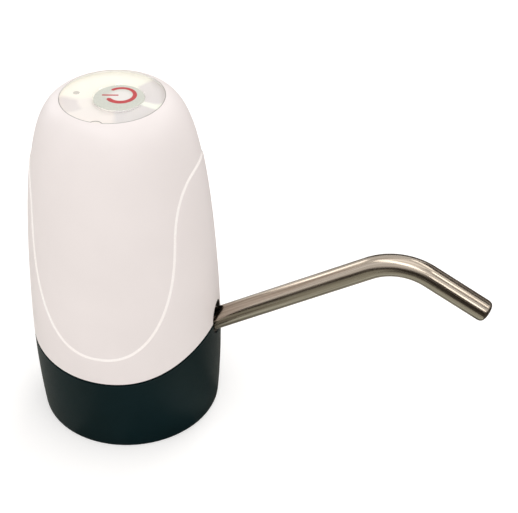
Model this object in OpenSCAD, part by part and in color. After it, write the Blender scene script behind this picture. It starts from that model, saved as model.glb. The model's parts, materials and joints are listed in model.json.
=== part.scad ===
// Rechargeable pump that sits on the neck of a large water jug, with a swivelling steel spout.
// Millimetres, +Z up, +X towards the spout, origin at the centre of the jug neck's mouth.

/* [Body] */
// Largest outside diameter, over the raised skirts
body_d = 70; // [69:0.5:76]
// Overall height of the body
body_h = 130; // [128:1:145]
// Outside diameter at the bottom rim
base_d = 67; // [66:0.5:69]
// Height of the largest diameter
belly_z = 34; // [30:0.5:38]
// Diameter of the flat disc on top
top_d = 36; // [35:0.5:40]
// How early the flank starts to lean in
dome_flow = 1.53; // [1.4:0.01:1.8]
// How square the shoulder is
dome_square = 6.45; // [5:0.05:7]
// Thickness of the upper shell
wall = 2; // [1.6:0.1:2.4]
// Thickness of the collar's wall at the bottom rim
rim_wall = 2.1; // [1.8:0.1:2.6]

/* [Seam and skirts] */
// Height of the seam at the sides
seam_z = 31.2; // [29:0.2:33]
// Rise of the seam towards the spout
seam_front = 10; // [9:0.5:11]
// Rise of the seam towards the back
seam_rear = 3.2; // [1:0.2:5]
// Open line between shell and collar
seam_gap = 0.3; // [0.2:0.05:0.5]
// How far the skirts stand proud of the side panels
ledge = 0.35; // [0.2:0.05:0.5]
// Lowest point of a side panel's outline
panel_low = 42.6; // [40:0.2:46]
// Height at which a side panel is widest
panel_mid = 88; // [84:1:92]
// Width of a side panel
panel_w = 51; // [48:1:54]
// Width of the outline where it meets the skirt's top edge
flare_w = 60; // [58:1:62]
// Height of a skirt's top edge
ledge_top = 108; // [105:1:111]

/* [Jug neck] */
// Thickness of the neck seal's gripping lip, which leaves a 55 mm opening
seal_wall = 3.8; // [3.2:0.1:4.6]
// Height of the neck seal
seal_h = 14; // [12:0.5:15]
// Height of the seal's gripping lip
seal_lip = 6; // [5:0.5:6.5]
// Thickness of the shelf above the seal
shelf_t = 4; // [3.6:0.2:5]
// Width of the shelf over the neck's rim
shelf_w = 6.9; // [6:0.1:8]
// Thickness of the chassis plate
chassis_t = 3; // [2.6:0.2:3.4]
// Outside diameter of the suction barb
barb_d = 8; // [7:0.5:9]
// Length of the suction barb below its flange
barb_l = 9.2; // [8:0.2:9.6]

/* [Spout] */
// Outside diameter of the spout tube
spout_d = 8; // [7.4:0.1:8.2]
// Wall of the spout tube
spout_wall = 0.6; // [0.5:0.1:1]
// Height at which the spout's axis leaves the body
spout_z = 40.4; // [40:0.2:42]
// Rise of the spout's straight run in degrees
spout_rise = 30; // [29:0.5:31]
// Bend of the spout in degrees
spout_bend = 60; // [40:1:75]
// Centreline radius of the bend
bend_r = 21; // [16:0.5:26]
// Straight run outside the body
spout_run = 63.4; // [50:0.5:80]
// Straight run after the bend
tip_run = 24; // [15:0.5:35]
// Length of the tube inside the body
spout_depth = 21; // [20:0.5:21.5]
// Wall of the rubber sleeve on the tube's end
sleeve_wall = 0.9; // [0.8:0.05:1]

/* [Top] */
// Diameter of the push button
button_d = 16.8; // [15:0.2:18]
// Distance of the button from the body's axis, towards the spout
button_x = 2.3; // [1.5:0.1:3]
// Travel of the button
travel = 0.8; // [0.5:0.1:1]
// Thickness of the clear top lens
lens_t = 2; // [1.7:0.1:2.3]
// Depth of the lens below the rim of the shell
lens_drop = 0.1; // [0:0.05:0.3]
// Thickness of the bright film under the lens
film_t = 0.7; // [0.5:0.1:0.9]
// Thickness of the shell's floor under the film
floor_t = 2; // [1.8:0.1:2.4]
// Outside diameter of the power mark
mark_d = 10.8; // [9:0.1:11]
// Stroke of the power mark
mark_w = 1.6; // [1.2:0.1:1.8]
// Turn of the power mark on the button, in degrees
mark_turn = 12; // [0:1:15]
// Diameter of the indicator's light pipe
pipe_d = 2.2; // [1.8:0.1:2.6]
// Distance of the indicator from the body's axis, towards the back
pipe_x = 13; // [12.5:0.1:13.5]
// Distance of the indicator from the middle line
pipe_y = 1; // [0:0.1:1.5]
// Diameter of the control board
board_d = 44; // [43.2:0.2:45]
// Thickness of the circuit boards
board_t = 1.6; // [1.2:0.1:1.8]
// Drop from the shell's floor to the control board
board_drop = 8.6; // [8.4:0.1:9.4]

/* [Drive] */
// Distance of the pump's centre behind the body's axis
pump_back = 6; // [5.5:0.1:6.5]
// Diameter of the motor can
motor_d = 24.4; // [23.6:0.1:25]
// Length of the motor can
motor_l = 30.8; // [28:0.2:36]
// Diameter of the motor shaft
shaft_d = 2; // [1.8:0.1:2.3]
// Teeth on each pump gear
gear_teeth = 10; // [9:1:11]
// Module of the pump gears
gear_module = 1; // [0.95:0.01:1.05]
// Face width of the pump gears
gear_t = 6.8; // [6:0.1:7.4]
// Diameter of the idler pin
idler_d = 2.5; // [2:0.1:3]
// Thickness of the pump cover
cover_t = 4; // [3.8:0.1:5]
// Diameter of the battery cell
cell_d = 18.4; // [17.8:0.1:18.6]
// Room between the battery cell's end and the control board, which leaves a 65 mm cell
cell_room = 8.3; // [7:0.1:12]
// Diameter of a lead
lead_d = 1.4; // [1:0.1:1.6]

/* [Charging port] */
// Height of the charging socket's middle
port_z = 48; // [47:0.5:60]
// Width of the port cover
flap_w = 13; // [12.6:0.2:13.4]
// Height of the port cover
flap_h = 8.8; // [8.2:0.2:10]
// Thickness of the port cover at its middle
flap_t = 1.7; // [1.5:0.1:1.8]

/* [Screws and fits] */
// Diameter of the screws
screw_d = 2; // [1.8:0.1:2.2]
// Diameter of a screw's head
head_d = 3.8; // [3.4:0.1:4]
// Height of a screw's head
head_h = 1.5; // [1.2:0.1:1.7]
// Diameter of a screw boss
boss_d = 5.2; // [4.8:0.1:5.4]
// Clearance between fixed housing pieces
slip = 0.3; // [0.2:0.05:0.4]
// Radial clearance of a running or sliding fit
run = 0.05; // [0.03:0.01:0.08]

/* [Hidden] */
$fn = 64;
// Cutters run past what they cut by this much
past = 1;
body_r = body_d / 2;
far = body_d;

// Collar and chassis; the collar's lip fits inside the shell and its wall inside the rim
lip_t = 0.9;
lip_h = 3;
collar_in_r = min(base_d / 2 - rim_wall, body_r - ledge - wall - slip - lip_t);
neck_r = collar_in_r - 2 * run - seal_wall;
shelf_z = seal_h + shelf_t;
deck_z = shelf_z + chassis_t;
boss_r = boss_d / 2;
screw_r = screw_d / 2;
head_r = head_d / 2;
screw_circle = collar_in_r - slip - run - boss_r;
screw_angles = [40, 145, 215, 320];
web_z = seam_z + seam_front + lip_h + past;
boss_top = web_z + 12;
boss_hole = 15;
web_t = 2;
housing_screw_l = shelf_t + chassis_t + 8;
seal_bead = 0.7;
seal_relief = 1;

// Top of the shell
lens_r = top_d / 2;
lens_z = body_h - lens_drop - lens_t;
film_z = lens_z - film_t;
floor_z = film_z - floor_t;
button_r = button_d / 2;
button_gap = 0.35;
button_bevel = 0.4;
bevel_h = 0.4;
button_low = 0.2;
button_edge = 0.4;
mark_t = 0.15;
mark_gap = 34;
mark_over = 0.5;
mark_shift = [0.45, 1.4];
lens_gap = 0.15;
lens_edge = 0.25;
notch_r = 2.3;
notch_out = 1.1;
flange_w = 1.6;
flange_t = 1.5;
board_z = floor_z - board_drop - board_t;
board_top = board_z + board_t;
board_boss_r = boss_r - 0.3;
board_screw_circle = lens_r - 2;
board_screw_angles = [90, 210, 330];
board_hole = 6;
led_h = 0.8;
pipe_z = board_top + led_h + 0.1;
pipe_flange = 0.7;
switch_w = 6;
switch_h = 3.5;
plunger_r = 1.75;
plunger_z = board_top + switch_h - 1.2;
stem_gap = 0.4;
stem_r = 2.5;
stem_z = board_top + switch_h + travel + stem_gap;

// Pump and motor
gear_pitch_r = gear_teeth * gear_module / 2;
gear_tip_r = gear_pitch_r + 0.8 * gear_module;
gear_root_r = gear_pitch_r - 1.05 * gear_module;
gear_pressure = 28;
gear_backlash = 1.2;
pump_x = -pump_back;
motor_y = gear_pitch_r;
pocket_r = gear_tip_r + 2 * run;
pump_wall = 2.7;
pump_r = pocket_r + pump_wall;
ear_x = 7.6;
ear_y = gear_pitch_r + 5.4;
ear_r = boss_r - 0.1;
outlet_s = spout_depth + 2.7;
outlet_z = spout_z - outlet_s * sin(spout_rise);
outlet_x = body_r - outlet_s * cos(spout_rise);
chamber_z = outlet_z - gear_t / 2 - run;
chamber_top = outlet_z + gear_t / 2 + run;
cover_z = chamber_top;
motor_z = cover_z + cover_t;
motor_r = motor_d / 2;
motor_wall = 1;
motor_in_r = motor_r - motor_wall;
motor_top = motor_z + motor_l;
shaft_r = shaft_d / 2;
bush_r = shaft_r + 1.9;
bush_h = 2.6;
cap_t = 2;
cap_boss = 2;
ring_h = 4;
ring_t = 1.4;
seal_r = shaft_r + 1.9;
seal_seat = 2.4;
magnet_t = 1.9;
magnet_h = motor_l - 11;
magnet_z = motor_z + 4;
armature_r = motor_in_r - magnet_t - slip - run;
armature_h = magnet_h - 4;
armature_z = magnet_z + 2;
pole_angles = [90, 210, 330];
pole_w = 3.2;
shoe_t = 1.7;
hub_r = shaft_r + 2;
coil_w = 4.5;
coil_end = 2;
coil_l = armature_r - shoe_t - hub_r - 0.5;
comm_r = hub_r;
comm_h = 3.6;
comm_z = armature_z + armature_h + coil_end + 0.5;
inlet_x = pump_x - gear_pitch_r + 0.5;
port_r = 1.6;
nipple_r = 2.8;
water_r = 2.2;
shaft_seat = 1.4;
pin_seat = 1.8;
pin_top = 1.4;
barb_tail = 1.8;
barb_tail_r = barb_d / 2 - 0.4;
barb_flange_t = 1.6;
barb_land = 4;
barb_ribs = 3;
barb_bite = 0.7;
terminal_h = 3;
terminal_y = motor_in_r - 5;
brush_t = 1.5;
brush_w = 2;
brush_z = comm_z + 1;
pump_head_z = motor_z - head_h - slip;

// Battery
pack_gap = 0.2;
cell_r = cell_d / 2;
cell_x = pump_x;
cell_y = motor_y - motor_r - cell_r - pack_gap;
tab_t = 0.3;
holder_t = 1.2;
holder_floor = motor_z + ring_h + 0.2;
cell_z = holder_floor + holder_t + tab_t;
cell_l = board_z - cell_room - cell_z;
cell_top = cell_z + cell_l;
holder_h = 0.74 * cell_l;
holder_foot_t = 3;
leg_w = 10;
leg_t = 9;
tab_w = 6;
nub_h = 1;
cradle_drop = 3.6;
leg_y = -(gear_pitch_r + pump_r + 1.2);
holder_screw_x = leg_w / 2 + head_r + 2 * slip;
holder_screw_y = leg_y - boss_r - slip;
lead_r = lead_d / 2;

// Spout socket and hose
spout_r = spout_d / 2;
bend_swell = 0.02;
bend_lap = 0.4;
sleeve_r = spout_r + run + sleeve_wall;
socket_r = sleeve_r + 2 * run + 2;
socket_front = (body_r - collar_in_r + socket_r * sin(spout_rise) + 2 * slip) / cos(spout_rise);
socket_back = spout_depth + 3;
sleeve_lip = 1;
socket_block_x = outlet_x - 4;
socket_foot_w = 21;
socket_foot_t = 2.5;
socket_block_l = 14;
socket_screw_x = outlet_x + 5;
socket_screw_y = socket_foot_w / 2 - 2.4;
clip_ear = 2;
clip_ear_w = 3;
hose_t = 1.4;
nipple_l = 3.7;
pump_face_x = pump_x + pump_r;
hose_x = pump_face_x + slip;
hose_end_x = socket_block_x - slip;
clip_w = 1.6;
clip_t = 0.7;
exit_r = sleeve_r + slip;
exit_lift = 1.3;

// Charging port
socket_w = 9;
socket_h = 3.2;
socket_l = 7;
socket_wall = 0.4;
port_face = body_r - wall - ledge - slip;
charge_l = 11.4;
charge_w = 12;
charge_x = -port_face + 1;
charge_z = port_z - socket_h / 2 - board_t;
pillar_w = 5;
pillar_hole = 8;
tongue_t = 0.7;
tongue_w = 6;
pillar_x = charge_x + charge_l - 2.8;
pillar_y = charge_w / 2 - pillar_w / 2;
flap_seat = body_r - flap_t;
flap_play = 0.2;
hole_w = socket_w + 2;
hole_h = socket_h + 2.4;

// Outside radius over the skirts at height z, below the belly
function collar_r(z) = body_r - (body_d - base_d) / 2 * pow((belly_z - z) / belly_z, 2);

// Outside radius of the dome and side panels at height z, above the belly: a superellipse that ends
// at the rim of the top disc
dome_max = body_r - ledge;
dome_end = pow(1 - pow(lens_r / dome_max, dome_square), 1 / dome_flow);
function dome_u(z) = dome_end * (z - belly_z) / (body_h - belly_z);
function dome_r(z) = dome_max * pow(1 - pow(dome_u(z), dome_flow), 1 / dome_square);

// Height of the seam in side view
function seam(x) = seam_z + (x > 0 ? seam_front * pow(x / body_r, 2.6) : seam_rear * pow(x / body_r, 2));

// Right half of a side panel's outline in side view: a superellipse below, then a flare to the skirt's top
panel_power = 2.5;
panel_steps = 14;
flare_steps = 8;
panel_half = concat(
    [for (i = [0:panel_steps]) let (t = 90 - 90 * i / panel_steps)
        [panel_w / 2 * pow(cos(t), 2 / panel_power),
         panel_mid - (panel_mid - panel_low) * pow(sin(t), 2 / panel_power)]],
    [for (i = [1:flare_steps]) let (t = 90 * i / flare_steps)
        [flare_w / 2 - (flare_w - panel_w) / 2 * cos(t), panel_mid + (ledge_top - panel_mid) * sin(t)]]);

// Tooth half angle of a gear at radius r, from the involute of its base circle
gear_base_r = gear_pitch_r * cos(gear_pressure);
function involute(a) = tan(a) * 180 / PI - a;
function tooth_half(r) = 90 / gear_teeth + involute(gear_pressure) - gear_backlash
    - involute(acos(min(1, gear_base_r / r)));
flank_r = [gear_root_r, gear_base_r, gear_pitch_r - 0.2, gear_pitch_r + 0.3, gear_tip_r];
gear_points = [for (k = [0:gear_teeth - 1], side = [-1, 1], i = [0:4])
    let (r = flank_r[side < 0 ? i : 4 - i], a = 360 * k / gear_teeth + side * tooth_half(max(r, gear_base_r)))
    [r * cos(a), r * sin(a)]];

module ring(outer, inner, h) {
    difference() {
        cylinder(r = outer, h = h);
        translate([0, 0, -past]) cylinder(r = inner, h = h + 2 * past);
    }
}

// Body of revolution inside the outer surface, inset by the given amount, from the rim up to height top
module body_solid(inset, top) {
    low = [for (i = [0:8]) let (z = belly_z * i / 8) [collar_r(z) - inset, z]];
    high = [for (i = [1:22]) let (z = belly_z + (top - belly_z) * sin(90 * i / 22))
        [dome_r(z) + ledge - inset, z]];
    rotate_extrude($fn = 240) polygon(concat([[0, 0]], low, high, [[0, top]]));
}

// Side view outline pushed through the body from side to side
module through_y() {
    rotate([90, 0, 0]) linear_extrude(height = 2 * far, center = true) children();
}

module above_ledge() {
    n = len(panel_half) - 1;
    left = [for (i = [n:-1:1]) [-panel_half[i].x, panel_half[i].y]];
    through_y() polygon(concat([[-far, body_h + past], [-far, ledge_top]], left, panel_half,
        [[far, ledge_top], [far, body_h + past]]));
}

module below_seam(lift) {
    reach = max(body_d, base_d) / 2 + 2 * past;
    edge = [for (i = [0:36]) let (x = reach * (i / 18 - 1)) [x, seam(x) + lift]];
    through_y() polygon(concat([[-reach, -past]], edge, [[reach, -past]]));
}

module at_circle(r, angles) {
    for (a = angles) rotate([0, 0, a]) translate([r, 0, 0]) children();
}

// Frame on the spout's straight run: Z outwards along it from the body's surface, X downwards
module along_spout() {
    translate([body_r, 0, spout_z]) rotate([0, 90 - spout_rise, 0]) children();
}

module spout_exit() {
    for (lift = [0, exit_lift]) translate([0, 0, lift]) along_spout()
        translate([0, 0, -socket_front]) cylinder(r = exit_r, h = socket_front + 20);
}

// Pan head on top of a shank that runs down from the seat at z = 0
module screw(l) {
    cylinder(r = head_r, h = head_h);
    translate([0, 0, -l]) cylinder(r = screw_r - run / 2, h = l);
}

module pump_ears(r, h) {
    for (x = [-ear_x, ear_x], y = [-ear_y, ear_y]) translate([x, y, 0]) cylinder(r = r, h = h);
}

module pump_outline(h) {
    for (y = [-gear_pitch_r, gear_pitch_r]) translate([0, y, 0]) cylinder(r = pump_r, h = h);
    translate([-pump_r, -gear_pitch_r, 0]) cube([2 * pump_r, 2 * gear_pitch_r, h]);
    pump_ears(ear_r, h);
}

module at_pump(z) { translate([pump_x, 0, z]) children(); }
module at_motor(z) { translate([pump_x, motor_y, z]) children(); }
module at_cell(z) { translate([cell_x, cell_y, z]) children(); }

module at_socket_screws(z) {
    for (y = [-socket_screw_y, socket_screw_y]) translate([socket_screw_x, y, z]) children();
}

module at_holder_screws(z) {
    for (x = [-holder_screw_x, holder_screw_x]) translate([cell_x + x, holder_screw_y, z]) children();
}

module upper_shell() color("#e9e3e0") {
    difference() {
        union() {
            body_solid(ledge, body_h);
            difference() {
                body_solid(0, ledge_top + past);
                above_ledge();
            }
        }
        translate([0, 0, -run]) body_solid(ledge + wall, floor_z + run);
        below_seam(seam_gap / 2);
        translate([0, 0, film_z]) cylinder(r = lens_r, h = body_h - film_z + past);
        translate([button_x, 0, floor_z - past]) cylinder(r = button_r + button_gap, h = floor_t + 2 * past);
        translate([-pipe_x, pipe_y, floor_z - past]) cylinder(r = pipe_d / 2 + run, h = floor_t + 2 * past);
        spout_exit();
        translate([-far, -flap_w / 2 - flap_play, port_z - flap_h / 2 - flap_play])
            cube([far - flap_seat, flap_w + 2 * flap_play, flap_h + 2 * flap_play]);
        translate([-far, -hole_w / 2, port_z - hole_h / 2]) cube([far - body_r / 2, hole_w, hole_h]);
    }
    at_circle(screw_circle, screw_angles) {
        difference() {
            translate([0, 0, deck_z]) cylinder(r = boss_r, h = boss_top - deck_z);
            translate([0, 0, deck_z - past]) cylinder(r = screw_r, h = boss_hole + past);
        }
        translate([boss_r - 0.4, -web_t / 2, web_z])
            cube([dome_max - wall / 2 - screw_circle - boss_r, web_t, boss_top - web_z]);
    }
    at_circle(board_screw_circle, board_screw_angles) difference() {
        translate([0, 0, board_top]) cylinder(r = board_boss_r, h = floor_z + past - board_top);
        translate([0, 0, board_top - past]) cylinder(r = screw_r, h = board_hole + past);
    }
}

module base_collar() color("#16211f") difference() {
    union() {
        difference() {
            intersection() {
                body_solid(0, body_h);
                below_seam(-seam_gap / 2);
            }
            translate([0, 0, -past]) cylinder(r = collar_in_r, h = far);
        }
        intersection() {
            translate([0, 0, belly_z / 2]) ring(collar_in_r + lip_t, collar_in_r, far);
            below_seam(lip_h);
        }
        translate([0, 0, seal_h]) ring(collar_in_r + past, collar_in_r - shelf_w, shelf_t);
    }
    translate([0, 0, seal_h / 2]) ring(collar_in_r + seal_bead, collar_in_r - past, 2);
    at_circle(screw_circle, screw_angles) {
        translate([0, 0, seal_h - past]) cylinder(r = head_r + slip, h = head_h + slip + past);
        translate([0, 0, seal_h]) cylinder(r = screw_r + 2 * run, h = shelf_t + past);
    }
    spout_exit();
}

module neck_seal() color("#c9cdca") {
    outer = collar_in_r - 2 * run;
    difference() {
        ring(outer, neck_r, seal_h);
        translate([0, 0, seal_lip]) cylinder(r = neck_r + seal_relief, h = far);
    }
    translate([0, 0, seal_h / 2 + run]) ring(outer + seal_bead - run, outer - past, 2 - 2 * run);
}

module chassis() color("#3a4043") difference() {
    union() {
        translate([0, 0, shelf_z]) cylinder(r = collar_in_r - slip, h = chassis_t);
        for (y = [-pillar_y, pillar_y])
            translate([pillar_x - pillar_w / 2, y - pillar_w / 2, deck_z - past])
                cube([pillar_w, pillar_w, charge_z - deck_z + past]);
    }
    translate([0, 0, shelf_z - past]) {
        at_circle(screw_circle, screw_angles) cylinder(r = screw_r + 2 * run, h = chassis_t + 2 * past);
        at_pump(0) pump_ears(screw_r, chassis_t + 2 * past);
        translate([inlet_x, 0, 0]) cylinder(r = barb_d / 2 + run, h = chassis_t + 2 * past);
        at_socket_screws(0) cylinder(r = screw_r, h = chassis_t + 2 * past);
        at_holder_screws(0) cylinder(r = screw_r, h = chassis_t + 2 * past);
    }
    for (y = [-pillar_y, pillar_y]) translate([pillar_x, y, charge_z - pillar_hole])
        cylinder(r = screw_r, h = pillar_hole + past);
}

module housing_screws() color("#8d9296")
    at_circle(screw_circle, screw_angles)
        translate([0, 0, seal_h + head_h + slip]) rotate([180, 0, 0]) screw(housing_screw_l);

module top_lens() color("#dfe3e2", 0.6) difference() {
    r = lens_r - lens_gap;
    translate([0, 0, lens_z]) rotate_extrude()
        polygon([[0, 0], [r, 0], [r, lens_t - lens_edge], [r - lens_edge, lens_t], [0, lens_t]]);
    translate([button_x, 0, lens_z - past]) cylinder(r = button_r + button_gap, h = lens_t + 2 * past);
    translate([button_x, 0, lens_z + lens_t - bevel_h]) cylinder(r1 = button_r + button_gap,
        r2 = button_r + button_gap + button_bevel, h = bevel_h + 0.001);
    translate([0, -lens_r - notch_out, lens_z - past]) cylinder(r = notch_r, h = lens_t + 2 * past);
}

module lens_film() color("#d8d6cf") translate([0, 0, film_z]) difference() {
    cylinder(r = lens_r - lens_gap, h = film_t);
    translate([button_x, 0, -past]) cylinder(r = button_r + button_gap, h = film_t + 2 * past);
    translate([-pipe_x, pipe_y, -past]) cylinder(r = pipe_d / 2 + run, h = film_t + 2 * past);
}

module light_pipe() color("#f4f2e6") translate([-pipe_x, pipe_y, 0]) {
    translate([0, 0, pipe_z]) cylinder(r = pipe_d / 2, h = lens_z - run - pipe_z);
    translate([0, 0, floor_z - pipe_flange]) cylinder(r = pipe_d / 2 + pipe_flange, h = pipe_flange);
}

module indicator_led() color("#f7e7a0") translate([-pipe_x - 1, pipe_y - 0.6, board_top])
    cube([2, 1.2, led_h]);

module control_board() color("#2f6b45") translate([0, 0, board_z]) difference() {
    cylinder(r = board_d / 2, h = board_t);
    translate([0, 0, -past]) at_circle(board_screw_circle, board_screw_angles)
        cylinder(r = screw_r + 2 * run, h = board_t + 2 * past);
}

module board_parts() {
    color("#202224") translate([-7, -11, board_top]) cube([5, 4, 1.5]);
    color("#202224") translate([6, -12.5, board_top]) cube([3, 3, 1.2]);
    color("#55504a") translate([9, 9, board_top]) cylinder(r = 2.6, h = 3.2);
    color("#b79a6a") translate([-9, 7, board_top]) cube([3.2, 1.6, 1.2]);
    color("#e6e2d6") translate([-4, 8.5, board_top]) cube([2, 1.25, 0.8]);
}

module board_screws() color("#8d9296")
    at_circle(board_screw_circle, board_screw_angles)
        translate([0, 0, board_z]) rotate([180, 0, 0]) screw(board_t + 5);

module switch_base() color("#1d1f21") translate([button_x, 0, board_top]) difference() {
    translate([-switch_w / 2, -switch_w / 2, 0]) cube([switch_w, switch_w, switch_h]);
    translate([0, 0, 0.6]) cylinder(r = plunger_r + 2 * run, h = switch_h);
}

module battery_cell() color("#3f6fa8") at_cell(cell_z) {
    cylinder(r = cell_r, h = cell_l - nub_h);
    translate([0, 0, cell_l - nub_h]) cylinder(r = tab_w / 2, h = nub_h);
}

module battery_tabs() color("#b9bcbe") {
    at_cell(cell_z - tab_t) translate([-tab_w / 2, -tab_w / 2, 0])
        cube([tab_w / 2 + cell_r + pack_gap + lead_d, tab_w, tab_t]);
    at_cell(cell_top) translate([-tab_w / 2, -tab_w / 2, 0]) cube([tab_w, tab_w, tab_t]);
}

module battery_holder() color("#2b2f33") difference() {
    union() {
        at_cell(holder_floor) difference() {
            cylinder(r = cell_r + pack_gap + holder_t, h = holder_h);
            translate([0, 0, holder_t]) cylinder(r = cell_r + pack_gap, h = holder_h);
            translate([-far, leg_y - cell_y, -past]) cube([2 * far, far, holder_h + 2 * past]);
            translate([-far, -cradle_drop, holder_t]) cube([2 * far, far, holder_h]);
        }
        translate([cell_x - leg_w / 2, leg_y - leg_t, deck_z])
            cube([leg_w, leg_t, holder_floor - deck_z + holder_t / 2]);
        translate([cell_x - holder_screw_x - boss_r, holder_screw_y - boss_r, deck_z])
            cube([2 * holder_screw_x + boss_d, boss_d, holder_foot_t]);
    }
    at_holder_screws(deck_z - past) cylinder(r = screw_r + 2 * run, h = holder_foot_t + 2 * past);
}

module holder_screws() color("#8d9296")
    at_holder_screws(deck_z + holder_foot_t) screw(holder_foot_t + chassis_t - slip);

module lead(x, y, from, to) { translate([x, y, from]) cylinder(r = lead_r, h = to - from); }

module battery_leads() {
    color("#b32d26") lead(cell_x, cell_y, cell_top + tab_t, board_z);
    color("#1c1c1c") lead(cell_x + cell_r + lead_r + pack_gap, cell_y, cell_z, board_z);
}

module motor_can() color("#b4b7b8") at_motor(motor_z) difference() {
    cylinder(r = motor_r, h = motor_l);
    translate([0, 0, motor_wall]) cylinder(r = motor_in_r, h = motor_l);
    translate([0, 0, -past]) cylinder(r = bush_r, h = motor_wall + 2 * past);
}

module motor_end_cap() color("#e8e6df") at_motor(motor_top - cap_t) difference() {
    union() {
        cylinder(r = motor_in_r - run, h = cap_t);
        cylinder(r = bush_r + 1.4, h = cap_t + cap_boss);
    }
    translate([0, 0, -past]) cylinder(r = bush_r, h = bush_h + past);
    translate([0, 0, -past]) cylinder(r = shaft_r + 2 * run, h = cap_t + cap_boss + 2 * past);
}

module motor_magnets() color("#4a4a4c") at_motor(magnet_z)
    for (a = [30, 210]) rotate([0, 0, a]) rotate_extrude(angle = 120)
        translate([motor_in_r - run - magnet_t, 0]) square([magnet_t, magnet_h]);

module motor_bushes() color("#b08d57") {
    at_motor(motor_z) ring(bush_r - run / 2, shaft_r + run / 2, bush_h);
    at_motor(motor_top - cap_t) ring(bush_r - run / 2, shaft_r + run / 2, bush_h);
}

module motor_brushes() color("#c08a4a") at_motor(brush_z)
    for (x = [-comm_r - run - brush_t, comm_r + run]) translate([x, -brush_w / 2, 0])
        cube([brush_t, brush_w, motor_top - cap_t - brush_z]);

module motor_terminals() color("#c9b27a") at_motor(motor_top)
    for (y = [-terminal_y, terminal_y]) translate([-1.2, y - 0.3, 0]) cube([2.4, 0.6, terminal_h]);

module motor_leads() {
    color("#b32d26") lead(pump_x, motor_y + terminal_y, motor_top + terminal_h, board_z);
    color("#1c1c1c") lead(pump_x, motor_y - terminal_y, motor_top + terminal_h, board_z);
}

module pump_body() color("#d6d4cb") difference() {
    union() {
        at_pump(deck_z) pump_outline(chamber_top - deck_z);
        translate([pump_face_x - past, 0, outlet_z]) rotate([0, 90, 0])
            cylinder(r = nipple_r, h = nipple_l + past);
    }
    at_pump(chamber_z) {
        for (y = [-gear_pitch_r, gear_pitch_r]) translate([0, y, 0])
            cylinder(r = pocket_r, h = gear_t + past);
        translate([-gear_pitch_r - 0.6, -2.2, 0]) cube([2 * gear_pitch_r + 1.2, 4.4, gear_t + past]);
    }
    at_motor(chamber_z - shaft_seat) cylinder(r = shaft_r + run, h = shaft_seat + past);
    translate([pump_x, -motor_y, chamber_z - pin_seat]) cylinder(r = idler_d / 2, h = pin_seat + past);
    translate([inlet_x, 0, deck_z - past]) cylinder(r = barb_tail_r + run, h = barb_tail + 0.2 + past);
    translate([inlet_x, 0, deck_z]) cylinder(r = water_r, h = chamber_z - deck_z + past);
    translate([pump_x, 0, outlet_z]) rotate([0, 90, 0]) cylinder(r = port_r, h = pump_r + nipple_l + past);
    at_pump(deck_z - past) pump_ears(screw_r + 2 * run, far);
}

module pump_cover() color("#55595c") difference() {
    union() {
        at_pump(cover_z) pump_outline(cover_t);
        at_motor(cover_z + cover_t / 2) cylinder(r = motor_r + run + ring_t, h = cover_t / 2);
        at_motor(motor_z) ring(motor_r + run + ring_t, motor_r + run, ring_h);
    }
    at_motor(cover_z - past) cylinder(r = shaft_r + slip, h = cover_t + past);
    at_motor(motor_z - seal_seat) cylinder(r = seal_r, h = seal_seat + past / 2);
    translate([pump_x, -motor_y, cover_z - past]) cylinder(r = idler_d / 2 + run, h = pin_top + 0.2 + past);
    at_pump(cover_z - past) pump_ears(screw_r + 2 * run, cover_t + past);
    at_pump(pump_head_z) pump_ears(head_r + run, head_h + slip + past / 2);
}

module pump_screws() color("#8d9296") at_pump(pump_head_z)
    for (x = [-ear_x, ear_x], y = [-ear_y, ear_y]) translate([x, y, 0]) screw(pump_head_z - shelf_z - slip);

module idler_pin() color("#9da1a4") translate([pump_x, -motor_y, chamber_z - pin_seat])
    cylinder(r = idler_d / 2, h = pin_seat + chamber_top - chamber_z + pin_top);

module shaft_seal() color("#20211f") at_motor(motor_z - seal_seat)
    ring(seal_r - run, shaft_r + run, seal_seat - 2 * run);

module inlet_barb() color("#2f3436") translate([inlet_x, 0, 0]) {
    r = barb_d / 2;
    flange_z = shelf_z - barb_flange_t;
    tail_z = deck_z + barb_tail;
    rib = (barb_l - barb_land) / barb_ribs;
    rotate_extrude() polygon([[water_r, flange_z - barb_l],
        for (i = [0:barb_ribs - 1]) for (k = [0, 1])
            [r - barb_bite * (1 - k), flange_z - barb_l + (i + k) * rib],
        [r, flange_z], [r + barb_tail, flange_z], [r + barb_tail, shelf_z], [barb_tail_r, shelf_z],
        [barb_tail_r, tail_z], [water_r, tail_z]]);
}

module outlet_hose() color("#dcdad2") translate([hose_x, 0, outlet_z]) rotate([0, 90, 0])
    ring(nipple_r + run + hose_t, nipple_r + run, hose_end_x - hose_x);

module hose_clips() color("#a7abad") for (x = [hose_x + 1, hose_end_x - 1 - clip_w])
    translate([x, 0, outlet_z]) rotate([0, 90, 0]) {
        ring(nipple_r + 2 * run + hose_t + clip_t, nipple_r + 2 * run + hose_t, clip_w);
        translate([nipple_r + hose_t + clip_t - 0.4, -clip_ear_w / 2, 0])
            cube([clip_ear, clip_ear_w, clip_w]);
    }

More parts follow.
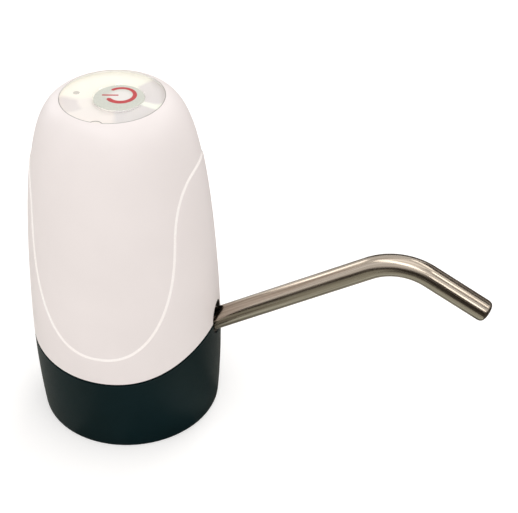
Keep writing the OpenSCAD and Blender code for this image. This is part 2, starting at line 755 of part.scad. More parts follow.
module spout_socket() color("#26292b") difference() {
    union() {
        along_spout() translate([0, 0, -socket_back]) cylinder(r = socket_r, h = socket_back - socket_front);
        translate([socket_block_x, -5, deck_z]) cube([socket_block_l, 10, outlet_z - deck_z + 4]);
        translate([socket_block_x, -socket_foot_w / 2, deck_z])
            cube([socket_block_l, socket_foot_w, socket_foot_t]);
        translate([socket_block_x - nipple_l, 0, outlet_z]) rotate([0, 90, 0])
            cylinder(r = nipple_r, h = nipple_l + past);
    }
    along_spout() {
        translate([0, 0, -spout_depth - sleeve_lip - 2 * run]) cylinder(r = sleeve_r + 2 * run, h = far);
        translate([0, 0, -outlet_s]) cylinder(r = water_r, h = 10);
    }
    translate([socket_block_x - nipple_l - past, 0, outlet_z]) rotate([0, 90, 0])
        cylinder(r = port_r, h = outlet_x - socket_block_x + nipple_l + past + port_r);
    at_socket_screws(deck_z - past) cylinder(r = screw_r + 2 * run, h = socket_foot_t + 2 * past);
}

module socket_screws() color("#8d9296")
    at_socket_screws(deck_z + socket_foot_t) screw(socket_foot_t + chassis_t - slip);

module charging_board() color("#2f6b45") translate([charge_x, -charge_w / 2, charge_z]) difference() {
    cube([charge_l, charge_w, board_t]);
    for (y = [-pillar_y, pillar_y]) translate([pillar_x - charge_x, charge_w / 2 + y, -past])
        cylinder(r = screw_r + 2 * run, h = board_t + 2 * past);
}

module charging_socket() color("#c4c7c8") translate([-port_face, -socket_w / 2, charge_z + board_t]) {
    difference() {
        cube([socket_l, socket_w, socket_h]);
        translate([-past, socket_wall, socket_wall])
            cube([socket_l - 1 + past, socket_w - 2 * socket_wall, socket_h - 2 * socket_wall]);
    }
    translate([1, (socket_w - tongue_w) / 2, (socket_h - tongue_t) / 2])
        cube([socket_l - 1.5, tongue_w, tongue_t]);
}

module charging_screws() color("#8d9296") for (y = [-pillar_y, pillar_y])
    translate([pillar_x, y, charge_z + board_t]) screw(board_t + 6);

module charging_leads() {
    x = charge_x + charge_l - lead_r - run;
    color("#b32d26") lead(x, -lead_d, charge_z + board_t, board_z);
    color("#1c1c1c") lead(x, lead_d, charge_z + board_t, board_z);
}

module button_cap() color("#d7d7cd") translate([button_x, 0, 0]) {
    rotate_extrude() polygon([[0, floor_z - flange_t], [button_r + flange_w, floor_z - flange_t],
        [button_r + flange_w, floor_z], [button_r, floor_z], [button_r, body_h - button_low - button_edge],
        [button_r - button_edge, body_h - button_low], [0, body_h - button_low]]);
    translate([0, 0, stem_z]) cylinder(r = stem_r, h = floor_z - flange_t - stem_z + past / 2);
}

module button_mark() color("#c8332f")
    translate([button_x + mark_shift[0], mark_shift[1], body_h - button_low]) rotate([0, 0, mark_turn]) {
        rotate([0, 0, 180 + mark_gap]) rotate_extrude(angle = 360 - 2 * mark_gap)
            translate([mark_d / 2 - mark_w, 0]) square([mark_w, mark_t]);
        translate([-mark_d / 2 - mark_over, -mark_w / 2, 0]) cube([mark_d / 2 + mark_over, mark_w, mark_t]);
    }

module switch_plunger() color("#3b3b3b") translate([button_x, 0, plunger_z])
    cylinder(r = plunger_r, h = stem_z - plunger_z);

module motor_shaft() color("#a9adaf") at_motor(chamber_z - 1.2)
    cylinder(r = shaft_r, h = motor_top - cap_t + bush_h + 0.8 - chamber_z + 1.2);

module armature() color("#6d6f72") at_motor(armature_z) linear_extrude(height = armature_h) difference() {
    union() {
        circle(r = hub_r);
        for (a = pole_angles) rotate(a) {
            translate([0, -pole_w / 2]) square([armature_r - shoe_t / 2, pole_w]);
            intersection() {
                difference() {
                    circle(r = armature_r);
                    circle(r = armature_r - shoe_t);
                }
                polygon([[0, 0], [2 * armature_r, -2 * armature_r], [2 * armature_r, 2 * armature_r]]);
            }
        }
    }
    circle(r = shaft_r);
}

module windings() color("#b5652c") at_motor(armature_z - coil_end) difference() {
    for (a = pole_angles) rotate(a) translate([hub_r + run, -coil_w / 2, 0])
        cube([coil_l, coil_w, armature_h + 2 * coil_end]);
    for (a = pole_angles) rotate(a)
        translate([0, -pole_w / 2 - run, coil_end]) cube([armature_r, pole_w + 2 * run, armature_h]);
}

module commutator() color("#c07a3e") at_motor(comm_z) difference() {
    cylinder(r = comm_r, h = comm_h);
    translate([0, 0, -past]) cylinder(r = shaft_r, h = comm_h + 2 * past);
    for (a = [30, 150, 270]) rotate(a) translate([shaft_r + 1.2, -0.2, -past])
        cube([2, 0.4, comm_h + 2 * past]);
}

module gear(bore) {
    linear_extrude(height = gear_t) difference() {
        polygon(gear_points);
        circle(r = bore);
    }
}

module drive_gear() color("#e4e0d2") at_motor(outlet_z - gear_t / 2) rotate([0, 0, -90]) gear(shaft_r);

module driven_gear() color("#d2cebf") translate([pump_x, -motor_y, outlet_z - gear_t / 2])
    rotate([0, 0, 90 + 180 / gear_teeth]) gear(idler_d / 2 + run);

module spout_sleeve() color("#1f2122") along_spout() {
    back = -spout_depth - sleeve_lip;
    rib = 0.35;
    rotate_extrude() polygon([[spout_r - spout_wall, back], [sleeve_r - rib, back],
        for (i = [1:3]) for (p = [[0, -0.8], [rib, 0], [rib, 0.6], [0, 1.4]])
            [sleeve_r - rib + p.x, back + 3.5 * i + p.y],
        [sleeve_r - rib, -2.6], [spout_r + run, -2.6], [spout_r + run, -spout_depth - run],
        [spout_r - spout_wall, -spout_depth - run]]);
}

// Rod along the spout's centreline; the bend is a hair fuller, as a drawn bend is, and laps the straights
module spout_core(r, inside, extra) {
    translate([0, 0, -inside]) cylinder(r = r, h = spout_run + inside + bend_lap);
    translate([bend_r, 0, spout_run]) rotate([90, 0, 0]) rotate([0, 0, 180 - spout_bend])
        rotate_extrude(angle = spout_bend) translate([bend_r, 0]) circle(r = r + bend_swell);
    translate([bend_r - bend_r * cos(spout_bend), 0, spout_run + bend_r * sin(spout_bend)])
        rotate([0, spout_bend, 0]) translate([0, 0, -bend_lap])
            cylinder(r = r, h = tip_run + bend_lap + extra);
}

module spout_tube() color("#b9aa97") along_spout() difference() {
    spout_core(spout_r, spout_depth, 0);
    spout_core(spout_r - spout_wall, spout_depth + past, past);
}

module port_cover() color("#dcd6d2") intersection() {
    translate([-far, -flap_w / 2, port_z - flap_h / 2]) cube([far - flap_seat - run, flap_w, flap_h]);
    body_solid(0, ledge_top);
}

upper_shell();
base_collar();
neck_seal();
chassis();
housing_screws();
top_lens();
lens_film();
light_pipe();
indicator_led();
control_board();
board_parts();
board_screws();
switch_base();
battery_cell();
battery_tabs();
battery_holder();
holder_screws();
battery_leads();
motor_can();
motor_end_cap();
motor_magnets();
motor_bushes();
motor_brushes();
motor_terminals();
motor_leads();
pump_body();
pump_cover();
pump_screws();
idler_pin();
shaft_seal();
inlet_barb();
outlet_hose();
hose_clips();
spout_socket();
socket_screws();
charging_board();
charging_socket();
charging_screws();
charging_leads();
button_cap();
button_mark();
switch_plunger();
motor_shaft();
armature();
windings();
commutator();
drive_gear();
driven_gear();
spout_sleeve();
spout_tube();
port_cover();
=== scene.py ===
# Looks of an electric water jug pump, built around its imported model.
# Surfaces are worked out in millimetres and go into the meshes in metres.
import json
import math

import bmesh
import bpy
import numpy as np
from mathutils import Matrix, Quaternion, Vector


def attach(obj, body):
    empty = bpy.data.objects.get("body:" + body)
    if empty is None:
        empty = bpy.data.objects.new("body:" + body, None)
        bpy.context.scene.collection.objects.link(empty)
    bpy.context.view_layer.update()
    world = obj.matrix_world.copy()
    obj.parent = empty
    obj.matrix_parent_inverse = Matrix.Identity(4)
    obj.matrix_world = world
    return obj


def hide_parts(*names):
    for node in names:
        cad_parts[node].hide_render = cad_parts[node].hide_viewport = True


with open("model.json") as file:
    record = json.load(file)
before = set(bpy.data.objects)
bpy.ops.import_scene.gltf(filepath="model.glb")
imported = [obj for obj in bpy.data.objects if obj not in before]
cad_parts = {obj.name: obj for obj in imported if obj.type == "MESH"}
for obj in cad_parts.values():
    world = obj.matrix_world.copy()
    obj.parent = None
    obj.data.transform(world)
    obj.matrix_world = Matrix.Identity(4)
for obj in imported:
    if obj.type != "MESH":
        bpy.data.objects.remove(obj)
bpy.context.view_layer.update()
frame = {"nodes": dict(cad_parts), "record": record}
nodes = frame["nodes"]
mm = 0.001
quarter = math.pi / 2
scene = bpy.context.scene
scene.view_settings.view_transform = "Standard"
print("frame loaded:", len(nodes), "nodes")

# Camera found from the photograph's outlines, for a picture of 518 by 513 pixels
shot = {"place": (130.69, -377.06, 357.53), "turn": 12.006, "pitch": 36.626, "roll": 0.18,
        "focalPixels": 1352.3, "widePixels": 518, "sensor": 36.0, "clip": (0.01, 20.0)}


def makeCamera():
    # Line of sight from turn and pitch, with a roll about it; lens from the focal length in pixels
    lens = bpy.data.cameras.new("camera")
    lens.sensor_width = shot["sensor"]
    lens.lens = shot["sensor"] * shot["focalPixels"] / shot["widePixels"]
    lens.clip_start, lens.clip_end = shot["clip"]
    camera = bpy.data.objects.new("camera", lens)
    scene.collection.objects.link(camera)
    scene.camera = camera
    turn, pitch = math.radians(shot["turn"]), math.radians(shot["pitch"])
    sight = Vector((-math.sin(turn) * math.cos(pitch), math.cos(turn) * math.cos(pitch), -math.sin(pitch)))
    roll = Quaternion((0, 0, 1), math.radians(shot["roll"]))
    camera.location = Vector(shot["place"]) * mm
    camera.rotation_euler = (sight.to_track_quat("-Z", "Y") @ roll).to_euler()
    print("camera set, lens", round(lens.lens, 2))


makeCamera()
finishes = {}


def toLinear(hexText):
    # Each channel of an sRGB hex colour goes to linear by the standard curve; alpha is one
    rgb = [int(hexText[i:i + 2], 16) / 255 for i in (1, 3, 5)]
    return [c / 12.92 if c <= 0.04045 else ((c + 0.055) / 1.055) ** 2.4 for c in rgb] + [1.0]


def feed(tree, node, inputs):
    # Each input of the node that is named is linked to a socket, or set to any other value
    for key, value in inputs.items():
        if isinstance(value, bpy.types.NodeSocket):
            tree.links.new(value, node.inputs[key])
        else:
            node.inputs[key].default_value = value


def addNode(tree, kind, inputs=None, stops=None, **settings):
    # A node with its settings, inputs and colour stops
    node = tree.nodes.new("ShaderNode" + kind)
    for key, value in settings.items():
        setattr(node, key, value)
    feed(tree, node, inputs or {})
    for i, (place, hexText) in enumerate(stops or []):
        stop = node.color_ramp.elements[i] if i < 2 else node.color_ramp.elements.new(place)
        stop.position, stop.color = place, toLinear(hexText)
    return node


def rayShare(tree, *rays):
    # One where the ray is of any of the kinds named
    path = addNode(tree, "LightPath")
    share = path.outputs[rays[0]]
    for ray in rays[1:]:
        share = addNode(tree, "Math", {0: share, 1: path.outputs[ray]}, operation="MAXIMUM").outputs[0]
    return share


def awayShare(tree, spot, reach):
    # Rises from nought to one between two distances from a spot in plan
    place = addNode(tree, "TexCoord").outputs["Object"]
    flat = addNode(tree, "Mapping", {"Vector": place, "Scale": (1, 1, 0),
                                     "Location": (-spot[0] * mm, -spot[1] * mm, 0)})
    away = addNode(tree, "VectorMath", {0: flat.outputs["Vector"]}, operation="LENGTH")
    share = addNode(tree, "MapRange", {"Value": away.outputs["Value"], "From Min": reach[0] * mm,
                                       "From Max": reach[1] * mm}, interpolation_type="SMOOTHSTEP")
    return share.outputs["Result"]


def startFinish(name):
    # A new material, kept under its name; its tree and main shader come back
    finish = bpy.data.materials.new(name)
    finish.use_nodes = True
    finishes[name] = finish
    return finish.node_tree, finish.node_tree.nodes["Principled BSDF"]


driftEnds = (0.35, 0.65)  # levels of the noise between which the colour drifts
grainEnds = (0.3, 0.7)  # and between which the roughness varies


def makeFinish(name, look):
    # Two near colours drift over the first size in mm, a grain of the second varies the roughness and dents
    # the surface by the third, and a key that names a socket of the shader sets it
    tree, shader = startFinish(name)
    place = addNode(tree, "TexCoord").outputs["Object"]
    if "along" in look:  # the coordinate of the straightened piece, stretched along its length
        place = addNode(tree, "Attribute", attribute_name="straight").outputs["Vector"]
        place = addNode(tree, "Mapping", {"Vector": place, "Scale": (1, 1, look["along"])}).outputs["Vector"]
    driftMm, grainMm, dentMm = look["mm"]
    drift = addNode(tree, "TexNoise", {"Vector": place, "Scale": 1 / (driftMm * mm), "Detail": 3.0})
    grain = addNode(tree, "TexNoise", {"Vector": place, "Scale": 1 / (grainMm * mm), "Detail": 2.0})
    colour = addNode(tree, "ValToRGB", {"Fac": drift.outputs["Fac"]}, stops=zip(driftEnds, look["colours"]))
    rough = addNode(tree, "MapRange", {"Value": grain.outputs["Fac"], "From Min": grainEnds[0],
                                       "From Max": grainEnds[1], "To Min": look["rough"][0],
                                       "To Max": look["rough"][1]})
    bump = addNode(tree, "Bump", {"Height": grain.outputs["Fac"], "Distance": dentMm * mm,
                                  "Strength": look.get("dent", 0.5)})
    feed(tree, shader, {"Base Color": colour.outputs["Color"], "Roughness": rough.outputs["Result"],
                        "Normal": bump.outputs["Normal"]})
    feed(tree, shader, {key: value for key, value in look.items() if key in shader.inputs})
    return tree, shader


# One look for each real finish; the comment says what it gives the eye.
# Grains finer than the render shows are drawn as coarse as they need to show.
looks = {
    # injection moulded ABS, fine spark-eroded tool: soft even white with a dull sheen
    "mouldedWhiteAbs": {"colours": ("#ece3e0", "#efe6e3"), "rough": (0.40, 0.50), "mm": (30, 0.35, 0.02),
                        "dent": 0.25, "IOR": 1.53},
    # the same ABS where the tool is polished, along the ledge: a shinier line, its colour painted brighter as
    # a highlight
    "polishedWhiteAbs": {"colours": ("#fff6f1", "#fff9f5"), "rough": (0.2, 0.3), "mm": (30, 0.6, 0.005),
                         "dent": 0.2, "IOR": 1.53},
    # the same ABS in black: deep, with a slight green cast and a satin sheen
    "mouldedBlackAbs": {"colours": ("#061b1d", "#091f22"), "rough": (0.38, 0.50), "mm": (25, 0.4, 0.02),
                        "dent": 0.3, "IOR": 1.53, "Specular IOR Level": 0.12},
    # moulded translucent silicone: milky grey, soft edge to its shine
    "milkySilicone": {"colours": ("#c3c8c4", "#ccd0cc"), "rough": (0.45, 0.6), "mm": (9, 0.5, 0.02),
                      "IOR": 1.41},
    # dark silicone: charcoal grey, dull and slightly dusty
    "darkSilicone": {"colours": ("#45413b", "#4d4842"), "rough": (0.55, 0.7), "mm": (6, 0.4, 0.02),
                     "IOR": 1.41},
    # glass filled nylon: charcoal with a flecked surface
    "charcoalNylon": {"colours": ("#33393c", "#3d4447"), "rough": (0.45, 0.65), "mm": (4, 0.3, 0.03),
                      "IOR": 1.53},
    # acetal: waxy cream
    "creamAcetal": {"colours": ("#d4cfbf", "#ded9ca"), "rough": (0.3, 0.42), "mm": (8, 0.4, 0.01),
                    "IOR": 1.48},
    # pad printed red ink: flat colour with a slight gloss
    "redInk": {"colours": ("#b82f33", "#c0383b"), "rough": (0.3, 0.4), "mm": (2, 0.3, 0.005), "IOR": 1.5},
    # tinted acrylic light pipe: a small pale amber dot until it lights
    "amberAcrylic": {"colours": ("#ded4c6", "#e8ded2"), "rough": (0.1, 0.2), "mm": (1, 0.4, 0.004),
                     "IOR": 1.49, "Transmission Weight": 0.3},
    # sawn edge of the clear plate: frosted and pale
    "sawnAcrylic": {"colours": ("#eeebe5", "#f5f2ec"), "rough": (0.5, 0.6), "mm": (3, 0.3, 0.02),
                    "IOR": 1.49},
    # fibreglass board under green solder mask: glossy with the weave showing faintly
    "solderMask": {"colours": ("#1f5a38", "#276a44"), "rough": (0.25, 0.4), "mm": (1.2, 0.6, 0.02),
                   "IOR": 1.55},
    # moulded epoxy of the chips: black with a fine matt grain
    "chipEpoxy": {"colours": ("#1b1c1e", "#242628"), "rough": (0.4, 0.6), "mm": (1.5, 0.2, 0.01),
                  "IOR": 1.55},
    # zinc plated steel screws: pale blue grey with patchy plating
    "zincPlate": {"colours": ("#a5abb0", "#b7bcc0"), "rough": (0.28, 0.45), "mm": (2, 0.3, 0.01),
                  "Metallic": 1.0},
    # shrink wrapped cell: blue film over a can
    "cellWrap": {"colours": ("#2b5f9e", "#3169aa"), "rough": (0.22, 0.34), "mm": (12, 0.8, 0.02), "IOR": 1.5},
    # rolled nickel: bright with fine rolling marks
    "rolledNickel": {"colours": ("#b9bab6", "#c8c9c5"), "rough": (0.2, 0.36), "mm": (3, 0.15, 0.006),
                     "Metallic": 1.0},
    # extruded PVC wire cover: red, slightly shiny
    "redPvc": {"colours": ("#a5271f", "#b5322a"), "rough": (0.3, 0.42), "mm": (4, 0.3, 0.01), "IOR": 1.53},
    # sintered ferrite: dark grey, matt
    "ferrite": {"colours": ("#3d3d40", "#4a4a4d"), "rough": (0.55, 0.7), "mm": (3, 0.25, 0.02),
                "Metallic": 0.3},
    # sintered bronze: dull gold with pores
    "sinteredBronze": {"colours": ("#94703a", "#a98247"), "rough": (0.4, 0.6), "mm": (1.5, 0.2, 0.02),
                       "Metallic": 1.0},
    # stacked iron sheet: grey with dark edges between sheets
    "ironStack": {"colours": ("#5d6063", "#707376"), "rough": (0.4, 0.55), "mm": (0.6, 0.3, 0.02),
                  "Metallic": 0.9},
    # enamelled copper: warm orange brown
    "enamelledCopper": {"colours": ("#9b4f22", "#b5622d"), "rough": (0.25, 0.4), "mm": (1.2, 0.4, 0.03),
                        "Metallic": 0.9},
    # drawn stainless tube, brushed along its length: beige grey with fine long lines
    "drawnStainless": {"colours": ("#998d7e", "#bfb3a5"), "rough": (0.12, 0.28), "mm": (0.8, 0.35, 0.01),
                       "dent": 0.35, "along": 0.02, "Metallic": 1.0},
}
for name, look in looks.items():
    makeFinish(name, look)

# Clear acrylic plate: polished, with the faintest haze; light that falls through it reaches the film
acrylic = {"colours": ("#fbfcfa", "#ffffff"), "rough": (0.02, 0.05), "mm": (14, 3, 0.01), "dent": 0.1,
           "IOR": 1.49, "Transmission Weight": 1.0}


def makeAcrylic():
    # Glass to the eye, and open to shadow and diffuse rays
    tree, shader = makeFinish("clearAcrylic", acrylic)
    mixed = addNode(tree, "MixShader", {0: rayShare(tree, "Is Shadow Ray", "Is Diffuse Ray"),
                                        1: shader.outputs[0], 2: addNode(tree, "BsdfTransparent").outputs[0]})
    feed(tree, tree.nodes["Material Output"], {"Surface": mixed.outputs[0]})


# Chamfer of the plate, its colour painted light and shade: a thin grey line of painted shade from outside,
# and painted bright from within the clear plate
chamferShade = {"colours": ("#8f8a86", "#99948f"), "rough": (0.5, 0.6), "mm": (3, 0.3, 0.02), "IOR": 1.49,
           "within": "#f7f4ee"}


def makeChamferShade():
    # The side of the face that is seen picks the colour: painted shade from outside, painted light from
    # within
    tree, shader = makeFinish("chamferPaintedShade", chamferShade)
    outside = shader.inputs["Base Color"].links[0].from_socket
    blend = addNode(tree, "MixRGB", {"Fac": addNode(tree, "NewGeometry").outputs["Backfacing"],
                                     "Color1": outside, "Color2": toLinear(chamferShade["within"])})
    feed(tree, shader, {"Base Color": blend.outputs[0]})


# Spray painted button: fine metal flake under a satin coat, with a paler middle painted on as a highlight
silver = {"colours": ("#c8c9be", "#d0d1c6"), "rough": (0.35, 0.45), "mm": (0.5, 0.25, 0.008), "IOR": 1.5,
          "Metallic": 0.1, "middle": "#e8e3de", "paleSpot": (2.6, 1.0), "paleMm": (2.4, 5.6)}


def makeSilver():
    # The distance from the painted highlight's spot blends its colour into the paint
    tree, shader = makeFinish("silverPaint", silver)
    paint = shader.inputs["Base Color"].links[0].from_socket
    blend = addNode(tree, "MixRGB", {"Fac": awayShare(tree, silver["paleSpot"], silver["paleMm"]),
                                     "Color1": toLinear(silver["middle"]), "Color2": paint})
    feed(tree, shader, {"Base Color": blend.outputs[0]})


# Metallised film with a spun finish: light and dark fans run out from its centre, painted reflections as such
# a finish shows them
film = {"fans": [(0.0, "#f6f6eb"), (0.015, "#ded7d5"), (0.155, "#e0d9d6"), (0.175, "#f8f5e8"),
                 (0.52, "#f8f2e6"), (0.54, "#e1d8d5"), (0.625, "#e3dbd7"), (0.645, "#f2eae4"),
                 (0.80, "#f1e8e2"), (0.82, "#ded8d6"), (0.96, "#dcd5d3"), (0.975, "#f5f6ea")],
        # the dark fan of painted reflection on the lamp's side, as shares of the turn, stops short of the
        # button
        "short": (0.53, 0.63), "shortPale": "#f4ece5", "shortMm": (10.6, 12.8),
        "raggedMm": 9, "ragged": 0.03, "rough": (0.32, 0.45), "metal": 0.15,
        # rings of the spinning: their spacing, waver, and the spacing of a wave texture at a scale of one
        "lineMm": 0.25, "waver": 0.4, "waveTurn": 0.314}


def makeFilm():
    # The angle round the disc's centre picks the fan of painted reflection, the distance from it the set of
    # fans;
    # fine rings of the spinning vary the roughness
    tree, shader = startFinish("spunFilmPaintedReflections")
    place = addNode(tree, "TexCoord").outputs["Object"]
    sway = addNode(tree, "TexNoise", {"Vector": place, "Scale": 1 / (film["raggedMm"] * mm), "Detail": 1.0})
    axes = addNode(tree, "SeparateXYZ", {"Vector": place})
    angle = addNode(tree, "Math", {0: axes.outputs["Y"], 1: axes.outputs["X"]}, operation="ARCTAN2")
    share = addNode(tree, "MapRange", {"Value": angle.outputs[0], "From Min": -math.pi, "From Max": math.pi,
                                       "To Min": -0.5, "To Max": 0.5})
    ragged = addNode(tree, "MapRange", {"Value": sway.outputs["Fac"], "To Min": -film["ragged"],
                                        "To Max": film["ragged"]})
    swayed = addNode(tree, "Math", {0: ragged.outputs["Result"], 1: share.outputs["Result"]})
    wrapped = addNode(tree, "Math", {0: swayed.outputs[0], 1: 1.0, 2: 0.0}, operation="WRAP")
    first, last = film["short"]
    paler = [(at, film["shortPale"] if first < at < last else colour) for at, colour in film["fans"]]
    inner = addNode(tree, "ValToRGB", {"Fac": wrapped.outputs[0]}, stops=paler)
    fans = addNode(tree, "ValToRGB", {"Fac": wrapped.outputs[0]}, stops=film["fans"])
    blend = addNode(tree, "MixRGB", {"Fac": awayShare(tree, (0, 0), film["shortMm"]),
                                     "Color1": inner.outputs["Color"], "Color2": fans.outputs["Color"]})
    rings = addNode(tree, "TexWave", {"Vector": place, "Scale": film["waveTurn"] / (film["lineMm"] * mm),
                                      "Distortion": film["waver"]}, wave_type="RINGS", rings_direction="Z")
    rough = addNode(tree, "MapRange", {"Value": rings.outputs["Fac"], "To Min": film["rough"][0],
                                       "To Max": film["rough"][1]})
    feed(tree, shader, {"Base Color": blend.outputs[0], "Roughness": rough.outputs["Result"],
                        "Metallic": film["metal"]})


makeAcrylic()
makeChamferShade()
makeSilver()
makeFilm()
print("finishes made:", len(finishes))

# Carried-over nodes take the finish of their record slot
slotFinish = {
    "white_shell": "mouldedWhiteAbs", "black_collar": "mouldedBlackAbs", "seal_silicone": "milkySilicone",
    "black_rubber": "darkSilicone", "inner_plastic": "charcoalNylon", "pump_plastic": "creamAcetal",
    "clear_lens": "clearAcrylic", "silver_film": "spunFilmPaintedReflections", "button_plastic": "silverPaint",
    "red_print": "redInk", "light_guide": "amberAcrylic", "circuit_board": "solderMask", "chips": "chipEpoxy",
    "screw_steel": "zincPlate", "cell_wrap": "cellWrap", "nickel": "rolledNickel", "lead_wire": "redPvc",
    "motor_steel": "zincPlate", "motor_plastic": "creamAcetal", "magnet": "ferrite",
    "bronze": "sinteredBronze", "laminations": "ironStack", "copper": "enamelledCopper",
    "spout_steel": "drawnStainless", "hose_silicone": "milkySilicone"}
slotOf = {row["node"]: row["material_slot"] for row in frame["record"]["subparts"]}
for name, node in nodes.items():
    node.data.materials.clear()
    node.data.materials.append(finishes[slotFinish[slotOf[name]]])


def numbered(ring, first=0):
    # Vertex numbers of a grid of points, row by row
    return first + np.arange(ring.shape[0] * ring.shape[1]).reshape(ring.shape[:2])


def gridFaces(index, closeRows=False, closeCols=False, holes=()):
    # Quads between neighbours of a 2-D array of vertex numbers, without the blocks listed in holes
    rows = index.shape[0] - (0 if closeRows else 1)
    cols = index.shape[1] - (0 if closeCols else 1)
    keep = np.ones((rows, cols), bool)
    for r0, r1, c0, c1 in holes:
        keep[r0:r1, c0:c1] = False
    r, c = np.nonzero(keep)
    r2, c2 = (r + 1) % index.shape[0], (c + 1) % index.shape[1]
    return np.stack([index[r, c], index[r, c2], index[r2, c2], index[r2, c]], -1)


def blockLoop(index, r0, r1, c0, c1):
    # Vertex numbers round the edge of a block of the grid, in order
    return np.concatenate([index[r0, c0:c1], index[r0:r1, c1], index[r1, c1:c0:-1], index[r1:r0:-1, c0]])


def loopFaces(a, b):
    # Quads between two closed loops of as many points
    return np.stack([a, np.roll(a, -1), np.roll(b, -1), b], -1)


def fanFaces(loop, pole):
    # Triangles from a closed loop to one point
    return np.stack([loop, np.roll(loop, -1), np.full(len(loop), pole)], -1)


def stripFaces(index):
    # A closed profile along an open line: quads along it, and a face at each end
    return [gridFaces(index, True, False), index[:, 0][None], index[::-1, -1][None]]


def makePiece(name, points, faces, finish, body, stands=(), crease=32.0):
    # A mesh from points in millimetres and rows of faces, facing outwards, smooth apart from its creases
    mesh = bpy.data.meshes.new(name)
    corners = np.asarray(points).reshape(-1, 3) * mm
    mesh.from_pydata(corners.tolist(), [], [face for part in faces for face in part.tolist()])
    work = bmesh.new()
    work.from_mesh(mesh)
    bmesh.ops.recalc_face_normals(work, faces=work.faces)
    work.to_mesh(mesh)
    work.free()
    mesh.shade_smooth()
    mesh.set_sharp_from_angle(angle=math.radians(crease))
    mesh.materials.append(finishes[finish])
    piece = bpy.data.objects.new(name, mesh)
    scene.collection.objects.link(piece)
    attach(piece, body)
    if stands:
        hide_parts(*stands)
    return piece


def turned(profile, columns, centre=(0.0, 0.0), close=True):
    # A profile of (radius, height) rows turned about a vertical line through centre
    profile = np.asarray(profile, float)
    t = np.arange(columns) * 2 * math.pi / columns
    ring = np.stack([centre[0] + profile[:, :1] * np.cos(t), centre[1] + profile[:, :1] * np.sin(t),
                     np.repeat(profile[:, 1:], columns, 1)], -1)
    return ring.reshape(-1, 3), gridFaces(numbered(ring), close, True)


def evenly(path, count):
    # Points at equal steps along a polyline
    run = np.concatenate([[0], np.cumsum(np.hypot(*np.diff(path, axis=0).T))])
    at = np.linspace(0, run[-1], count)
    return np.stack([np.interp(at, run, path[:, 0]), np.interp(at, run, path[:, 1])], -1)


def stepsThrough(knots, counts):
    # Values from the first knot to the last, with as many even steps between knots as counted
    parts = [np.linspace(a, b, n + 1)[1:] for a, b, n in zip(knots, knots[1:], counts)]
    return np.concatenate([[knots[0]]] + parts)


def through(f, knots, levels):
    # Straight pieces between the levels reached at the knots
    k = min(int(np.searchsorted(knots[1:-1], f)), len(knots) - 2)
    return levels[k] + (levels[k + 1] - levels[k]) * (f - knots[k]) / (knots[k + 1] - knots[k])


def spread(columns, *values):
    # Numbers and arrays as rows of as many columns
    return np.stack([np.broadcast_to(value, columns.shape) for value in values])


def bothSides(x, y, z):
    # A half ring of columns from the front middle to the back middle, mirrored into a whole ring
    x = np.concatenate([x, x[:, -2:0:-1]], 1)
    y = np.concatenate([-y, y[:, -2:0:-1]], 1)
    z = np.concatenate([z, z[:, -2:0:-1]], 1)
    return np.stack([x, y, z], -1)


# Body: the outer form that shell and collar share; meanRadius turns angles into lengths on it,
# and edgeRise is the height of a softened edge as a multiple of its depth
body = {"radius": 35.0, "height": 130.0, "rimRadius": 33.5, "bellyZ": 34.0, "discRadius": 18.0, "flow": 1.53,
        "square": 6.45, "ledge": 0.35, "seamZ": 31.2, "seamFront": 10.0, "seamPower": 2.8, "seamRear": 3.2,
        "seamGap": 0.3, "meanRadius": 33.0, "edgeRise": 1.2}
domeMax = body["radius"] - body["ledge"]
domeEnd = (1 - (body["discRadius"] / domeMax) ** body["square"]) ** (1 / body["flow"])


def domeRadius(z):
    # Superellipse from the belly up to the disc's rim
    u = domeEnd * np.clip((z - body["bellyZ"]) / (body["height"] - body["bellyZ"]), 0, 1)
    return domeMax * (1 - u ** body["flow"]) ** (1 / body["square"])


def skirtRadius(z):
    # A parabola up to the belly, then the dome with the ledge on top
    low = body["radius"] - (body["radius"] - body["rimRadius"]) * ((body["bellyZ"] - z) / body["bellyZ"]) ** 2
    return np.where(z < body["bellyZ"], low, domeRadius(z) + body["ledge"])


def seamHeight(x):
    # The seam in side view: a power curve that rises to the front, a parabola that rises to the back
    s = x / body["radius"]
    front = body["seamFront"] * np.abs(s) ** body["seamPower"]
    return body["seamZ"] + np.where(x > 0, front, body["seamRear"] * s ** 2)


# Shell: white upper housing, with side panels sunk by the ledge, a slot for the spout and a port at the back
shell = {"panelLow": 42.6, "panelMid": 88.0, "panelHalf": 25.5, "flareHalf": 30.0, "ledgeTop": 108.0,
         "power": 2.5, "wall": 2.0, "slotHalf": 5.25, "slotMid": 41.7, "slotRise": 6.06, "edge": 0.22,
         "portHalf": 6.7, "portLow": 43.4, "portHigh": 52.6, "portSeat": 33.3,
         "holeHalf": 5.5, "holeLow": 45.2, "holeHigh": 50.8,
         "recessZ": 127.2, "floorZ": 125.2, "buttonX": 2.3, "buttonHole": 8.75,
         # height and radius of the ledge over the port, by which the rows and columns there are shared out
         "ledgeBack": 107.0, "ledgeRadius": 29.6,
         # how far the dome's rows draw together towards the top, and how their columns turn
         "domeCloser": 1.9, "domeTurn": 0.8,
         # columns of half the ring, and those of them over slot and port; steps between rows
         "frontColumns": 84, "backColumns": 84, "slotColumns": 16, "portColumns": 10,
         "curvePoints": 1500, "archPoints": 60,
         "rows": {"toPort": 5, "port": 6, "toLedge": 23, "dome": 45, "recess": 4, "toHole": 13, "toFoot": 4}}
# across the ledge: distance from its middle towards the panel, and how much of the ledge is left there
ledgeSteps = [(-0.62, 1.0), (-0.42, 0.985), (-0.32, 0.88), (0.0, 0.5), (0.32, 0.12), (0.42, 0.015),
              (0.62, 0.0)]


